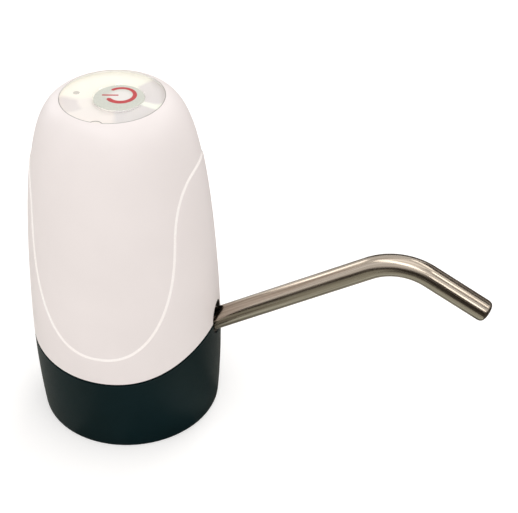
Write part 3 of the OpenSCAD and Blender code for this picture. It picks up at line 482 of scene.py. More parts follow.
def ledgeCurve():
    # Outline of a side panel in side view, a superellipse and then a quarter ellipse that flares to the
    # front, laid on the body: angle from the spout's plane, height, and length along it
    half, mid, power = shell["panelHalf"], shell["panelMid"], 2 / shell["power"]
    t = np.linspace(quarter, 0, shell["curvePoints"])
    s = np.linspace(0, quarter, shell["curvePoints"])[1:]
    x = np.concatenate([half * np.cos(t).clip(0) ** power,
                        shell["flareHalf"] - (shell["flareHalf"] - half) * np.cos(s)])
    z = np.concatenate([mid - (mid - shell["panelLow"]) * np.sin(t) ** power,
                        mid + (shell["ledgeTop"] - mid) * np.sin(s)])
    share = x / (domeRadius(z) + body["ledge"] / 2)
    stop = np.argmax(share >= 1) if np.any(share >= 1) else len(share)
    angle = np.append(np.arccos(share[:stop].clip(0, 1)), 0.0)
    z = np.append(z[:stop], z[stop - 1])
    step = np.hypot(np.diff(angle) * body["meanRadius"], np.diff(z))
    return angle, z, np.concatenate([[0], np.cumsum(step)])


def ledgeColumns(portY):
    # Angle and height at which each column meets the ledge, in even steps along its curve apart from upright
    # columns over the port, and the way across it to the panel: the curve's slope turned by a right angle
    curveA, curveZ, curveS = ledgeCurve()
    overPort = np.interp(np.arcsin(portY / shell["ledgeRadius"]), curveA[::-1], curveS[::-1])
    overPort[-1] = curveS[-1]
    toPort = np.linspace(0, overPort[0], shell["backColumns"] - shell["portColumns"] + 1)
    along = np.concatenate([np.linspace(curveS[-1], 0, shell["frontColumns"] + 1), toPort[1:], overPort[1:]])
    apart = curveS + np.arange(len(curveS)) * 1e-9  # no two points at the same length
    slopeA = np.interp(along, curveS, np.gradient(curveA * body["meanRadius"], apart))
    slopeZ = np.interp(along, curveS, np.gradient(curveZ, apart))
    size = np.hypot(slopeA, slopeZ)
    acrossA, acrossZ = slopeZ / size / body["meanRadius"], -slopeA / size
    upright = [0, shell["frontColumns"], -1]
    acrossA[upright] = 0.0
    acrossZ[upright] = 1.0
    return np.interp(along, curveS, curveA), np.interp(along, curveS, curveZ), acrossA, acrossZ


def lowerEdge(portY, side):
    # Angle and height of each column's foot: over the slot's half ellipse in even steps, then along the seam
    arc = np.linspace(quarter, 0, shell["archPoints"])
    half, radius, slotColumns = shell["slotHalf"], body["radius"], shell["slotColumns"]
    corner = seamHeight(np.sqrt(radius ** 2 - half ** 2)) + body["seamGap"] / 2
    arch = evenly(np.stack([np.append(half * np.cos(arc), half),
                            np.append(shell["slotMid"] + shell["slotRise"] * np.sin(arc), corner)], -1),
                  slotColumns + 1)
    toSide = np.linspace(math.asin(half / radius), quarter, shell["frontColumns"] - slotColumns + 1)
    toPort = np.linspace(quarter, math.asin(shell["portHalf"] / radius),
                         shell["backColumns"] - shell["portColumns"] + 1)
    angle = np.concatenate([np.arcsin(arch[:, 0] / radius), toSide[1:], toPort[1:],
                            np.arcsin(portY[1:] / radius)])
    z = seamHeight(side * radius * np.cos(angle)) + body["seamGap"] / 2
    z[:slotColumns + 1] = arch[:, 1]
    return angle, z


def makeShell():
    # Rows of angle, height, radius and shift for half a ring: from the lower edge up the skirt, over the
    # ledge and dome to the disc's recess, through the button's hole, and down the inside wall
    nF, nB, nP, rows = shell["frontColumns"], shell["backColumns"], shell["portColumns"], shell["rows"]
    portY = np.linspace(shell["portHalf"], 0, nP + 1)
    side = np.concatenate([np.ones(nF + 1), -np.ones(nB)])
    port = np.arange(nF + nB + 1) >= nF + nB - nP
    ledgeA, ledgeZ, acrossA, acrossZ = ledgeColumns(portY)
    bottomA, bottomZ = lowerEdge(portY, side)
    topA = np.concatenate([np.linspace(0, quarter, nF + 1), np.linspace(quarter, 0, nB + 1)[1:]])
    made = []

    def addRow(a, z, r, x=0.0):
        made.append(spread(topA, a, z, r, x))

    # skirt: straight lines in angle and height from the softened lower edge to the ledge
    endA, endZ = ledgeA + ledgeSteps[0][0] * acrossA, ledgeZ + ledgeSteps[0][0] * acrossZ
    addRow(bottomA, bottomZ, skirtRadius(bottomZ) - shell["edge"])
    f = shell["edge"] * body["edgeRise"] / np.hypot((endA - bottomA) * body["meanRadius"], endZ - bottomZ)
    z = bottomZ + (endZ - bottomZ) * f
    addRow(bottomA + (endA - bottomA) * f, z, skirtRadius(z))
    backSeam = body["seamZ"] + body["seamRear"] + body["seamGap"] / 2
    low, high = ((shell[k] - backSeam) / (shell["ledgeBack"] - backSeam) for k in ("portLow", "portHigh"))
    portLowRow = len(made) + rows["toPort"] - 1
    portHighRow = portLowRow + rows["port"]
    for f in stepsThrough((0, low, high, 1), (rows["toPort"], rows["port"], rows["toLedge"]))[1:-1]:
        z = bottomZ + (endZ - bottomZ) * f
        z[port] = through(f, (0, low, high, 1),
                          (bottomZ[port], shell["portLow"], shell["portHigh"], endZ[port]))
        r = skirtRadius(z)
        a = bottomA + (endA - bottomA) * f
        a[port] = np.arcsin(portY / r[port])
        addRow(a, z, r)
    # ledge: across it the height falls from skirt to panel
    ledgeRow = len(made)
    for step, left in ledgeSteps:
        a, z = ledgeA + step * acrossA, ledgeZ + step * acrossZ
        addRow(a, z, domeRadius(z) + body["ledge"] * left)
    # panel and dome: up to the disc's rim, with closer rows near the top
    endA, endZ = a, z
    for t in np.linspace(0, 1, rows["dome"] + 1)[1:]:
        z = endZ + (body["height"] - endZ) * (1 - (1 - t) ** shell["domeCloser"])
        addRow(endA + (topA - endA) * t ** shell["domeTurn"], z, domeRadius(z))
    # recess for the disc, its floor and the button's hole
    rim, hole, shift = body["discRadius"], shell["buttonHole"], shell["buttonX"]
    for t in np.linspace(0, 1, rows["recess"] + 1):
        addRow(topA, shell["recessZ"], rim + (hole - rim) * t, shift * t)
    addRow(topA, shell["floorZ"], hole, shift)
    inTop = domeRadius(np.array(shell["floorZ"])) - shell["wall"]
    addRow(topA, shell["floorZ"], (hole + inTop) / 2, shift / 2)
    # inside wall, from the floor down to the lower edge
    low, high = ((shell[k] - backSeam) / (shell["floorZ"] - backSeam) for k in ("holeLow", "holeHigh"))
    holeY = portY * shell["holeHalf"] / shell["portHalf"]
    holeHighRow = len(made) + rows["toHole"]
    holeLowRow = holeHighRow + rows["port"]
    for f in stepsThrough((1, high, low, 0), (rows["toHole"], rows["port"], rows["toFoot"])):
        z = bottomZ + (shell["floorZ"] - bottomZ) * f
        z[port] = through(f, (0, low, high, 1),
                          (bottomZ[port], shell["holeLow"], shell["holeHigh"], shell["floorZ"]))
        r = domeRadius(z) - shell["wall"]
        a = bottomA + (topA - bottomA) * f
        a[port] = np.arcsin(holeY / r[port])
        addRow(a, z, r)
    a, z, r, x = np.stack(made, 1)
    ring = bothSides(x + side * r * np.cos(a), r * np.sin(a), z)
    points, index = ring.reshape(-1, 3), numbered(ring)
    c0, c1 = nF + nB - nP, nF + nB + nP
    holes = [(portLowRow, portHighRow, c0, c1), (holeHighRow, holeLowRow, c0, c1)]
    faces = [gridFaces(index, True, True, holes)]
    # port: its sides go in to a flat seat, and a smaller hole goes on through the wall
    outer = blockLoop(index, portLowRow, portHighRow, c0, c1)
    inside = blockLoop(index[::-1], len(index) - 1 - holeLowRow, len(index) - 1 - holeHighRow, c0, c1)
    seat = points[np.concatenate([outer, inside])]
    seat[:, 0] = -shell["portSeat"]
    seatAt, lipAt = len(points) + np.arange(len(seat)).reshape(2, -1)
    faces += [loopFaces(outer, seatAt), loopFaces(seatAt, lipAt), loopFaces(lipAt, inside)]
    piece = makePiece("shellWhite", np.concatenate([points, seat]), faces, "mouldedWhiteAbs", "housing",
                      ("upper_shell",), crease=24.0)
    rowOf = faces[0][:, 0] // index.shape[1]
    # faces across the ledge take the shinier ABS, its colour painted brighter as a highlight
    ledgeHighlight = np.zeros(len(piece.data.polygons), np.int32)
    ledgeHighlight[:len(rowOf)] = (rowOf > ledgeRow) & (rowOf < ledgeRow + len(ledgeSteps) - 2)
    piece.data.materials.append(finishes["polishedWhiteAbs"])
    piece.data.polygons.foreach_set("material_index", ledgeHighlight)


makeShell()
print("shell made")

# Collar: black lower housing, with a notch under the spout, a lip inside the shell and a shelf over the seal
collar = {"inner": 31.4, "lip": 0.9, "lipHigh": 3.0, "shelfTop": 18.0, "shelfLow": 14.0, "shelfInner": 24.5,
          "notchHalf": 5.25, "notchMid": 40.4, "notchFall": 6.06, "notchTilt": 30.0, "corner": 0.06,
          "drop": 0.5, "edge": 0.1, "foot": 0.5, "footSoft": (0.15, 0.12), "footTop": 0.01, "innerFoot": 0.4,
          "notchLip": 0.01, "notchColumns": 14, "columns": 170, "rows": 25}


def makeCollar():
    # Each column climbs the outer form to the seam, or to the notch's half ellipse, crosses the wall,
    # and goes down inside over lip and shelf
    inner, lipHigh, foot, rim = collar["inner"], collar["lipHigh"], collar["foot"], body["rimRadius"]
    lipOuter, innerFoot = inner + collar["lip"], collar["innerFoot"]
    t = np.linspace(quarter, 0, collar["notchColumns"] + 1)
    corner = math.asin((collar["notchHalf"] + collar["corner"]) / body["radius"])
    a = np.concatenate([np.arcsin(collar["notchHalf"] * np.cos(t) / body["radius"]),
                        np.linspace(corner, math.pi, collar["columns"])])
    notch = np.arange(len(a)) < len(t)
    top = seamHeight(body["radius"] * np.cos(a)) - body["seamGap"] / 2 - collar["drop"]
    top[notch] = np.minimum(collar["notchMid"] - collar["notchFall"] * np.sin(t), top[len(t)])
    softIn, softUp = collar["footSoft"]
    made = [spread(a, rim - foot, 0.0), spread(a, rim - softIn, softUp),
            spread(a, rim + collar["footTop"], foot)]
    for f in np.linspace(0, 1, collar["rows"] + 1)[1:]:
        z = foot + (top - body["edgeRise"] * collar["edge"] - foot) * f
        made.append(spread(a, skirtRadius(z), z))
    made.append(spread(a, skirtRadius(top) - collar["edge"], top))
    tilt = math.tan(math.radians(collar["notchTilt"]))
    for r, rise in ((lipOuter, 0.0), (lipOuter, lipHigh), (inner, lipHigh)):
        inNotch = top - (skirtRadius(top) - r) * tilt - rise * collar["notchLip"]
        made.append(spread(a, r, np.where(notch, inNotch, top + rise)))
    for r, z in ((inner, collar["shelfTop"]), (collar["shelfInner"], collar["shelfTop"]),
                 (collar["shelfInner"], collar["shelfLow"]), (inner, collar["shelfLow"]),
                 (inner, innerFoot), (inner + innerFoot, 0.0)):
        made.append(spread(a, r, z))
    r, z = np.stack(made, 1)
    ring = bothSides(r * np.cos(a), r * np.sin(a), z)
    makePiece("collarBlack", ring, [gridFaces(numbered(ring), True, True)], "mouldedBlackAbs", "housing",
              ("base_collar",), crease=24.0)


makeCollar()

# Dark edge of the slot: a thin dark strip inside the slot that the spout leaves by
slotEdge = {"thick": 0.25, "front": 0.06, "back": 3.2, "foot": 0.4, "columns": 49}


def makeSlotDarkEdge():
    # The slot's arch as a strip: outer and inner outline, each at the front and at the back
    half, rise, mid = shell["slotHalf"], shell["slotRise"], shell["slotMid"]
    t = np.linspace(0, math.pi, slotEdge["columns"])
    low = seamHeight(np.array(body["radius"])) + slotEdge["foot"]
    y = np.concatenate([[half], half * np.cos(t), [-half]])
    z = np.concatenate([[low], mid + rise * np.sin(t), [low]])
    rows = []
    for thick, depth in ((0.0, slotEdge["front"]), (0.0, slotEdge["back"]),
                         (slotEdge["thick"], slotEdge["back"]), (slotEdge["thick"], slotEdge["front"])):
        py = y * (1 - thick / half)
        pz = np.where(z > mid, mid + (z - mid) * (1 - thick / rise), z)
        rows.append(np.stack([np.sqrt(skirtRadius(pz) ** 2 - py ** 2) - depth, py, pz], -1))
    ring = np.stack(rows)
    piece = makePiece("slotDarkEdge", ring, stripFaces(numbered(ring)), "darkSilicone", "housing")


makeSlotDarkEdge()
print("collar made")

# Underside: the seal that grips the jug's neck, and the barb for the suction hose
seal = {"outer": 31.25, "bore": 27.5, "relief": 28.5, "lip": 6.0, "high": 14.0, "soft": 0.3, "lipSoft": 0.2,
        "rib": 0.3, "ribs": 3, "ribEdge": 0.6, "ribPoints": 60, "mouth": (0.25, 0.15), "columns": 128}
barb = {"x": -10.5, "radius": 4.0, "bore": 2.2, "tip": 7.2, "land": 12.4, "flange": 16.4, "shelf": 18.0,
        "flangeRadius": 5.8, "bite": 0.7, "ribs": 3, "tail": 3.6, "tailTop": 22.8, "soft": 0.2, "tooth": 0.08,
        "fillet": 0.4, "columns": 64}


def makeSeal():
    # A turned ring with softened edges; the gripping lip has low ribs as half sines
    outer, relief, bore = seal["outer"], seal["relief"], seal["bore"]
    high, lip, soft, edge = seal["high"], seal["lip"], seal["soft"], seal["ribEdge"]
    z = np.linspace(edge, lip - edge, seal["ribPoints"])
    ribbed = bore + seal["rib"] * np.abs(np.sin(math.pi * seal["ribs"] * (z - z[0]) / (z[-1] - z[0])))
    profile = [(outer, soft), (outer, high - soft), (outer - soft, high), (relief + soft, high),
               (relief, high - soft), (relief, lip + soft), (relief - seal["lipSoft"], lip)]
    profile += list(zip(ribbed, z))[::-1]
    profile += [(bore + seal["mouth"][0], seal["mouth"][1]), (bore + edge, 0.0), (outer - soft, 0.0)]
    points, faces = turned(profile, seal["columns"])
    makePiece("neckSealRing", points, [faces], "milkySilicone", "housing", ("neck_seal",), crease=40.0)


def makeBarb():
    # A turned profile: saw-tooth ribs below a plain land, a flange against the chassis, a tail into the pump
    r, bore, tip, flange, wide = (barb[k] for k in ("radius", "bore", "tip", "flange", "flangeRadius"))
    soft, tooth, fillet = barb["soft"], barb["tooth"], barb["fillet"]
    rib = (barb["land"] - tip) / barb["ribs"]
    profile = [(bore, tip + soft), (bore + soft, tip)]
    for i in range(barb["ribs"]):
        z = tip + i * rib
        profile += [(r - barb["bite"], z), (r - tooth, z + rib - soft), (r, z + rib - tooth)]
    profile += [(r, flange - fillet), (r + fillet, flange), (wide - soft, flange), (wide, flange + soft),
                (wide, barb["shelf"]), (barb["tail"], barb["shelf"]), (barb["tail"], barb["tailTop"]),
                (bore, barb["tailTop"])]
    points, faces = turned(profile, barb["columns"], (barb["x"], 0.0))
    makePiece("suctionBarb", points, [faces], "charcoalNylon", "housing", ("inlet_barb",))


makeSeal()
makeBarb()
print("underside made")

# Top disc: clear plate over a bright film, with the push button off its centre. The plate has a notch in its
# near edge, the film a round window for the lamp; columns are closer over the turns of both, in degrees
disc = {"rim": 17.97, "plateLow": 127.9, "plateTop": 130.04, "hole": 8.75, "x": 2.3, "filmLow": 127.2,
        "bond": 0.02, "bevel": 0.4, "bevelHigh": 0.4, "bevelSoft": 0.08, "chamfer": 0.12, "chamferIn": 0.04,
        "chamferOut": 0.03, "soft": 0.05, "notch": 2.3, "notchY": -19.1, "notchTurn": (262.0, 278.0),
        "notchSteps": 39, "steps": 149,
        "lampX": -13.0, "lampY": 1.0, "lampHole": 1.15, "lampTurn": (165.0, 184.0), "lampSteps": 12,
        "filmSteps": 139, "lampShare": (0.40, 0.75), "filmRows": (4, 8, 3)}


def onceRound(stretch, within, beyond):
    # Angles once round the disc: even steps over a stretch of it and even steps over the rest
    first, last = stretch
    return np.radians(stepsThrough((first, last, first + 360), (within, beyond))[:-1])


def discRim(t, inset=0.0):
    # Distance to the rim: the circle, or the near side of the notch's circle where it bites in
    d = t + quarter
    reach = disc["notch"] + inset
    across = disc["notchY"] * np.sin(d)
    depth = np.sqrt(np.clip(reach ** 2 - across ** 2, 0, None))
    within = (np.abs(across) < reach) & (np.cos(d) > 0)
    bite = np.where(within, -disc["notchY"] * np.cos(d) - depth, disc["rim"])
    return np.minimum(disc["rim"] - inset, bite)


def discRows(t, rows):
    # Each row lies a share of the way from the button's hole, grown, to the rim, inset, at a height
    points = []
    for share, grow, inset, z in rows:
        way = np.stack([np.cos(t), np.sin(t)], -1)
        hole = (disc["hole"] + grow) * way + [disc["x"], 0.0]
        edge = discRim(t, inset)[:, None] * way
        points.append(np.concatenate([hole + (edge - hole) * share, np.full((len(t), 1), z)], 1))
    return np.stack(points)


def makePlate():
    # Up the hole, over its bevel, across the top, over the rim's chamfer and back underneath
    low, top, chamfer, bevel, soft = (disc[k] for k in ("plateLow", "plateTop", "chamfer", "bevel", "soft"))
    # the chamfer's rows take the painted shade and light, the side wall the frosted sawn edge
    clear, shadedChamferLine, sawn = 0, 1, 2
    rows = [(0, 0, 0, low), (0, 0, 0, top - disc["bevelHigh"]), (0, bevel - disc["bevelSoft"], 0, top - soft),
            (0, bevel + soft, 0, top), (0.5, bevel, chamfer, top), (1, 0, chamfer + disc["chamferIn"], top),
            (1, 0, disc["chamferOut"], top - chamfer), (1, 0, 0, top - chamfer - soft), (1, 0, 0, low),
            (0.5, 0, 0, low)]
    rowLook = np.array([clear] * 5 + [shadedChamferLine] * 2 + [sawn] + [clear] * 2, np.int32)
    t = onceRound(disc["notchTurn"], disc["notchSteps"], disc["steps"])
    ring = discRows(t, rows)
    index = numbered(ring)
    faces = gridFaces(index, True, True)
    piece = makePiece("topPlateClear", ring, [faces], "clearAcrylic", "housing", ("top_lens",), crease=20.0)
    piece.data.materials.append(finishes["chamferPaintedShade"])
    piece.data.materials.append(finishes["sawnAcrylic"])
    rowOf, columnOf = np.divmod(faces[:, 0], index.shape[1])
    faceLook = rowLook[rowOf]
    faceLook[(faceLook == sawn) & (discRim(t) < disc["rim"])[columnOf]] = clear  # the notch is polished
    piece.data.polygons.foreach_set("material_index", faceLook)


def makeFilmDisc():
    # Top and underside of the film between hole and rim; a block of both is left open, drawn in to a circle
    t = onceRound(disc["lampTurn"], disc["lampSteps"], disc["filmSteps"])
    shares = stepsThrough((0, *disc["lampShare"], 1), disc["filmRows"])
    high, low = disc["plateLow"] + disc["bond"], disc["filmLow"]
    ring = discRows(t, [(s, 0, 0, high) for s in shares] + [(s, 0, 0, low) for s in shares[::-1]])
    points, index = ring.reshape(-1, 3), numbered(ring)
    r0, r1 = disc["filmRows"][0], sum(disc["filmRows"][:2])
    columns, lastRow = disc["lampSteps"], len(index) - 1
    faces = [gridFaces(index, True, True, [(r0, r1, 0, columns), (lastRow - r1, lastRow - r0, 0, columns)])]
    upper = blockLoop(index, r0, r1, 0, columns)
    lower = blockLoop(index[::-1], r0, r1, 0, columns)
    lamp = [disc["lampX"], disc["lampY"]]
    away = points[upper, :2] - lamp
    away *= disc["lampHole"] / np.hypot(*away.T)[:, None]
    circles = [np.concatenate([away + lamp, np.full((len(upper), 1), z)], 1) for z in (high, low)]
    highAt, lowAt = len(points) + np.arange(2 * len(upper)).reshape(2, -1)
    faces += [loopFaces(upper, highAt), loopFaces(highAt, lowAt), loopFaces(lowAt, lower)]
    makePiece("filmBright", np.concatenate([points] + circles), faces, "spunFilmPaintedReflections", "housing", ("lens_film",),
              crease=30.0)


makePlate()
makeFilmDisc()

# Button: a shallow dish with a rounded edge and a flange that holds it in
button = {"radius": 8.62, "top": 129.8, "dish": 0.1, "edge": 0.35, "flange": 10.0, "flangeTop": 125.2,
          "flangeLow": 123.7, "stem": 2.5, "stemLow": 121.3, "columns": 96, "dishRows": 13, "edgeRows": 5}
# Mark printed on it: a ring open to one side, heavier in front, and a bar, each turned a little
mark = {"outer": 5.4, "front": 1.75, "back": 1.15, "gap": 34.0, "ringTurn": 3.0, "ringPoints": 90,
        "barWide": 0.65, "barReach": 6.5, "barEnd": 0.8, "barTurn": 12.0, "barPoints": 40,
        "shift": (0.25, 1.7), "ink": 0.05, "sink": 0.02, "blunt": 0.01}


def buttonTop(r):
    # A paraboloid dish that meets the rounded edge
    return button["top"] - button["dish"] * np.clip(1 - (r / button["radius"]) ** 2, 0, None)


def makeButton():
    # A profile turned about the button's line: dish, rounded edge, side, flange and stem; a fan at each pole
    radius, edge, columns = button["radius"], button["edge"], button["columns"]
    r = np.linspace(0.0, radius - edge, button["dishRows"] + 1)[1:]
    c = np.linspace(0, quarter, button["edgeRows"] + 1)[1:]
    dish = np.stack([r, buttonTop(r)], -1)
    rounded = dish[-1] + edge * np.stack([np.sin(c), np.cos(c) - 1], -1)
    rest = [(radius, button["flangeTop"]), (button["flange"], button["flangeTop"]),
            (button["flange"], button["flangeLow"]), (button["stem"], button["flangeLow"]),
            (button["stem"], button["stemLow"])]
    points, faces = turned(np.concatenate([dish, rounded, rest]), columns, (disc["x"], 0.0), close=False)
    poles = [(disc["x"], 0.0, buttonTop(0.0)), (disc["x"], 0.0, button["stemLow"])]
    first = np.arange(columns)
    last = first + len(points) - columns
    fans = [fanFaces(first, len(points)), fanFaces(last, len(points) + 1)]
    makePiece("buttonSilver", np.concatenate([points, poles]), [faces] + fans, "silverPaint", "button",
              ("button_cap",), crease=40.0)


def inkStroke(line, half):
    # A flat stroke along a line of (x, y) points on the button's top, round at its ends, a hair of ink thick
    run = np.concatenate([[0], np.cumsum(np.hypot(*np.diff(line, axis=0).T))])
    along = np.gradient(line, axis=0)
    along /= np.hypot(*along.T)[:, None]
    across = np.stack([-along[:, 1], along[:, 0]], -1)
    near = np.minimum(np.minimum(run, run[-1] - run), half)
    wide = np.sqrt((half ** 2 - (half - near) ** 2).clip(mark["blunt"] ** 2))
    points = []
    for side, lift in ((-1, -mark["sink"]), (-1, mark["ink"]), (1, mark["ink"]), (1, -mark["sink"])):
        p = line + across * (side * wide)[:, None]
        r = np.hypot(p[:, 0] - disc["x"], p[:, 1])
        points.append(np.concatenate([p, (buttonTop(r) + lift)[:, None]], 1))
    return np.stack(points)


def makeMark():
    # The ring's width is a sine of the angle; the bar runs from the gap to near the middle
    front, back = mark["front"], mark["back"]
    t = np.radians(np.linspace(180 + mark["gap"], 540 - mark["gap"], mark["ringPoints"]))
    ringHalf = (front + back) / 4 - (front - back) / 4 * np.sin(t)
    ring = (mark["outer"] - (front + back) / 4) * np.stack([np.cos(t), np.sin(t)], -1)
    reach = -np.linspace(mark["barReach"], mark["barEnd"], mark["barPoints"])
    bar = np.stack([reach, np.zeros(mark["barPoints"])], -1)
    strokes, faces, first = [], [], 0
    for line, half, degrees in ((ring, ringHalf, mark["ringTurn"]),
                                (bar, mark["barWide"] / 2, mark["barTurn"])):
        c, s = math.cos(math.radians(degrees)), math.sin(math.radians(degrees))
        stroke = inkStroke(line @ np.array([[c, s], [-s, c]]) + [disc["x"], 0] + mark["shift"], half)
        faces += stripFaces(numbered(stroke, first))
        strokes.append(stroke.reshape(-1, 3))
        first += len(strokes[-1])
    makePiece("buttonMark", np.concatenate(strokes), faces, "redInk", "button", ("button_mark",))


makeButton()
makeMark()
print("top made")

# Spout: a steel tube that rises, bends over and ends square; the straight tube's coordinate is kept on it
spout = {"start": (35.0, 0.0, 40.4), "rise": 30.0, "inside": 21.0, "run": 63.4, "bend": 60.7,
         "bendRadius": 21.0, "tip": 24.29, "radius": 4.0, "wall": 0.6, "edge": 0.18,
         "rollLong": 1.7, "rollDeep": 0.85, "evenFrom": -18.0, "rows": (39, 43, 13), "rollRows": 8,
         "columns": 72}


def spoutLine(s):
    # Place along the run, bend and tip at length s from where the tube leaves the body, with its direction
    rise, bend, radius = math.radians(spout["rise"]), math.radians(spout["bend"]), spout["bendRadius"]
    swept = np.clip((s - spout["run"]) / radius, 0, bend)
    after = np.clip(s - spout["run"] - radius * bend, 0, None)
    out = np.minimum(s, spout["run"]) + radius * np.sin(swept) + after * math.cos(bend)
    down = radius * (1 - np.cos(swept)) + after * math.sin(bend)
    ahead = np.array([math.cos(rise), 0, math.sin(rise)])
    below = np.array([math.sin(rise), 0, -math.cos(rise)])
    place = np.array(spout["start"]) + out[:, None] * ahead + down[:, None] * below
    along = np.cos(swept)[:, None] * ahead + np.sin(swept)[:, None] * below
    return place, along


def makeSpout():
    # A circle carried along the line, outside from end to end and back inside; the end rolls in as an ellipse
    inside, edge, radius = spout["inside"], spout["edge"], spout["radius"]
    rollLong, rollDeep = spout["rollLong"], spout["rollDeep"]
    bendEnd = spout["run"] + spout["bendRadius"] * math.radians(spout["bend"])
    end = bendEnd + spout["tip"]
    q = np.linspace(0, quarter, spout["rollRows"] + 1)[1:]
    even = stepsThrough((spout["evenFrom"], spout["run"], bendEnd, end - rollLong), spout["rows"])
    s = np.concatenate([[-inside, edge - inside], even, end - rollLong * (1 - np.sin(q))])
    r = np.concatenate([[radius - edge], np.full(len(even) + 1, radius), radius - rollDeep * (1 - np.cos(q))])
    s = np.concatenate([s, s[::-1][1:]])
    r = np.concatenate([r, r[::-1][1:] - spout["wall"]])
    place, along = spoutLine(s)
    side = np.array([0.0, 1.0, 0.0])
    up = np.cross(along, side)
    t = np.arange(spout["columns"]) * 2 * math.pi / spout["columns"]
    ring = place[:, None] + r[:, None, None] * (np.cos(t)[:, None] * side + np.sin(t)[:, None] * up[:, None])
    piece = makePiece("spoutSteel", ring, [gridFaces(numbered(ring), True, True)], "drawnStainless", "spout",
                      ("spout_tube",), crease=30.0)
    straight = np.stack([r[:, None] * np.cos(t), r[:, None] * np.sin(t),
                         np.repeat(s[:, None], len(t), 1)], -1)
    kept = piece.data.attributes.new("straight", "FLOAT_VECTOR", "POINT")
    kept.data.foreach_set("vector", (straight * mm).astype(np.float32).ravel())


makeSpout()
print("spout made")

# Port cover at the back: follows the body, with soft edges and a small lip to lift it by;
# its columns and rows draw together towards the edges by the two powers
cover = {"half": 6.5, "low": 43.6, "high": 52.4, "back": 33.35, "soft": 0.5, "softDepth": 0.3, "lipHalf": 2.6,
         "lipZ": 50.6, "lipHigh": 0.37, "lipSoft": 0.55, "columns": 41, "rows": 33, "sidePower": 1.25,
         "endPower": 0.9}


def makeCover():
    # A patch of the body's surface that drops at its edges, with a ridge that is a parabola across and a bell
    # curve up and down, and a flat back
    half, low, high = cover["half"], cover["low"], cover["high"]
    y = np.linspace(-1, 1, cover["columns"])
    y = half * np.sign(y) * (1 - (1 - np.abs(y)) ** cover["sidePower"])
    z = np.linspace(0, math.pi, cover["rows"])
    z = low + (high - low) * (0.5 - 0.5 * np.cos(z)) ** cover["endPower"]
    zz, yy = np.meshgrid(z, y, indexing="ij")
    edge = np.minimum(half - np.abs(yy), np.minimum(zz - low, high - zz))
    drop = cover["softDepth"] * (1 - (edge / cover["soft"]).clip(0, 1)) ** 2
    bell = np.exp(-((zz - cover["lipZ"]) / cover["lipSoft"]) ** 2)
    ridge = cover["lipHigh"] * (1 - (yy / cover["lipHalf"]) ** 2).clip(0) * bell
    front = np.stack([-np.sqrt(skirtRadius(zz) ** 2 - yy ** 2) + drop - ridge, yy, zz], -1)
    back = front.copy()
    back[..., 0] = -cover["back"]
    index = numbered(front)
    block = (0, index.shape[0] - 1, 0, index.shape[1] - 1)
    behind = index + index.size
    sides = loopFaces(blockLoop(index, *block), blockLoop(behind, *block))
    makePiece("portCoverWhite", np.stack([front, back]), [gridFaces(index), gridFaces(behind), sides],
              "mouldedWhiteAbs", "port_flap", ("port_cover",))


makeCover()
print("port cover made")

# Stage: a pale floor that reads white to camera, metal and glass, and soft light from all round.
# Cards that only reflections see, and lamps for shine alone, shape the steel and the black collar.
stage = {"floorHalf": 4000.0, "floor": "#e6e4e2", "floorRough": 0.9, "lift": 0.36, "ambient": 0.73,
         "aim": (10, 0, 60), "bendMiddle": (100, 0, 75), "tableHalf": 900.0,
         # the table's colour across the spout's line, from one half width to the other
         "table": [(0.0, "#86857a"), (0.43, "#a3a497"), (0.47, "#b4b7ab"), (0.484, "#cbd2c8"),
                   (0.495, "#96988d"), (0.505, "#2e2e28"), (1.0, "#2e2e28")]}
# place, width and power of each lamp, and whether it lights surfaces, shows in them, or both
lamps = {"leftLamp": ((-800, -600, 600), 600, 1.1, "light"),
         "rightLamp": ((800, -600, 700), 600, 0.95, "light"),
         "lowLamp": ((0, -1000, 250), 700, 1.5, "light"), "backLamp": ((250, 900, 900), 700, 4.0, "light"),
         "edgeLamp": ((900, 500, 350), 500, 0.5, "light"), "topLamp": ((150, -150, 1400), 1200, 3.15, "both"),
         "runStreak": ((-800, 500, 500), 420, 1.3, "shine"),
         "tipStreak": ((800, -930, 480), 210, 0.5, "shine"),
         "upperStreak": ((815, -72, 661), 240, 0.5, "shine")}
# long lamps for shine alone, which carry the streaks round the bend: their ends, width and power
strips = {"lowerStrip": ((-500, 60, 900), (560, -720, 640), 220, 2.0),
          "upperStrip": ((233, 441, 620), (590, 147, 570), 150, 0.45)}
# cards that lie on the floor: from and to in x and y, height, and colour or the table's
floorCards = {"sideTable": ((36, 700), (-900, 900), 0.4, None),
              "frontTable": ((-700, 36), (-900, -110), 0.4, None),
              "footCard": ((-700, 36), (-110, 900), 0.4, "#77756b"),
              "leftCard": ((-700, -14), (-110, 900), 0.6, "#b8b6ab"),
              "exitCard": ((15, 115), (6, 60), 0.6, "#a8a69c"),
              "kneeCard": ((8, 34), (-44, -16), 0.6, "#2c2b26"),
              "tipCard": ((150, 700), (-900, 900), 0.8, "#45403a"),
              "bandCard": ((80, 700), (-900, -98), 1.2, "#37322c")}
# cards that stand: the ends of the lower edge, heights of both edges, and colour
flags = {"endFlag": ((700, -500), (700, 900), (1, 260), "#3a3027"),
         "frontFlag": ((-900, -450), (800, -450), (1, 190), "#3a3027"),
         "backFlag": ((500, 900), (1000, 500), (450, 1000), "#2a221a"),
         "tipBackFlag": ((250, 900), (1000, 700), (1, 350), "#54453c"),
         "bendFlag": ((-420, 950), (330, 950), (1, 430), "#40372f"),
         "rightFlag": ((560, -140), (560, -258), (330, 520), "#3a3026")}


def stageCard(name, corners, finish):
    # A card as one face between four corners
    mesh = bpy.data.meshes.new(name)
    mesh.from_pydata((np.array(corners) * mm).tolist(), [], [(0, 1, 2, 3)])
    mesh.materials.append(finishes[finish])
    card = bpy.data.objects.new(name, mesh)
    scene.collection.objects.link(card)
    return card


def flatCorners(xs, ys, z):
    # The four corners of a level card
    return [(xs[0], ys[0], z), (xs[1], ys[0], z), (xs[1], ys[1], z), (xs[0], ys[1], z)]


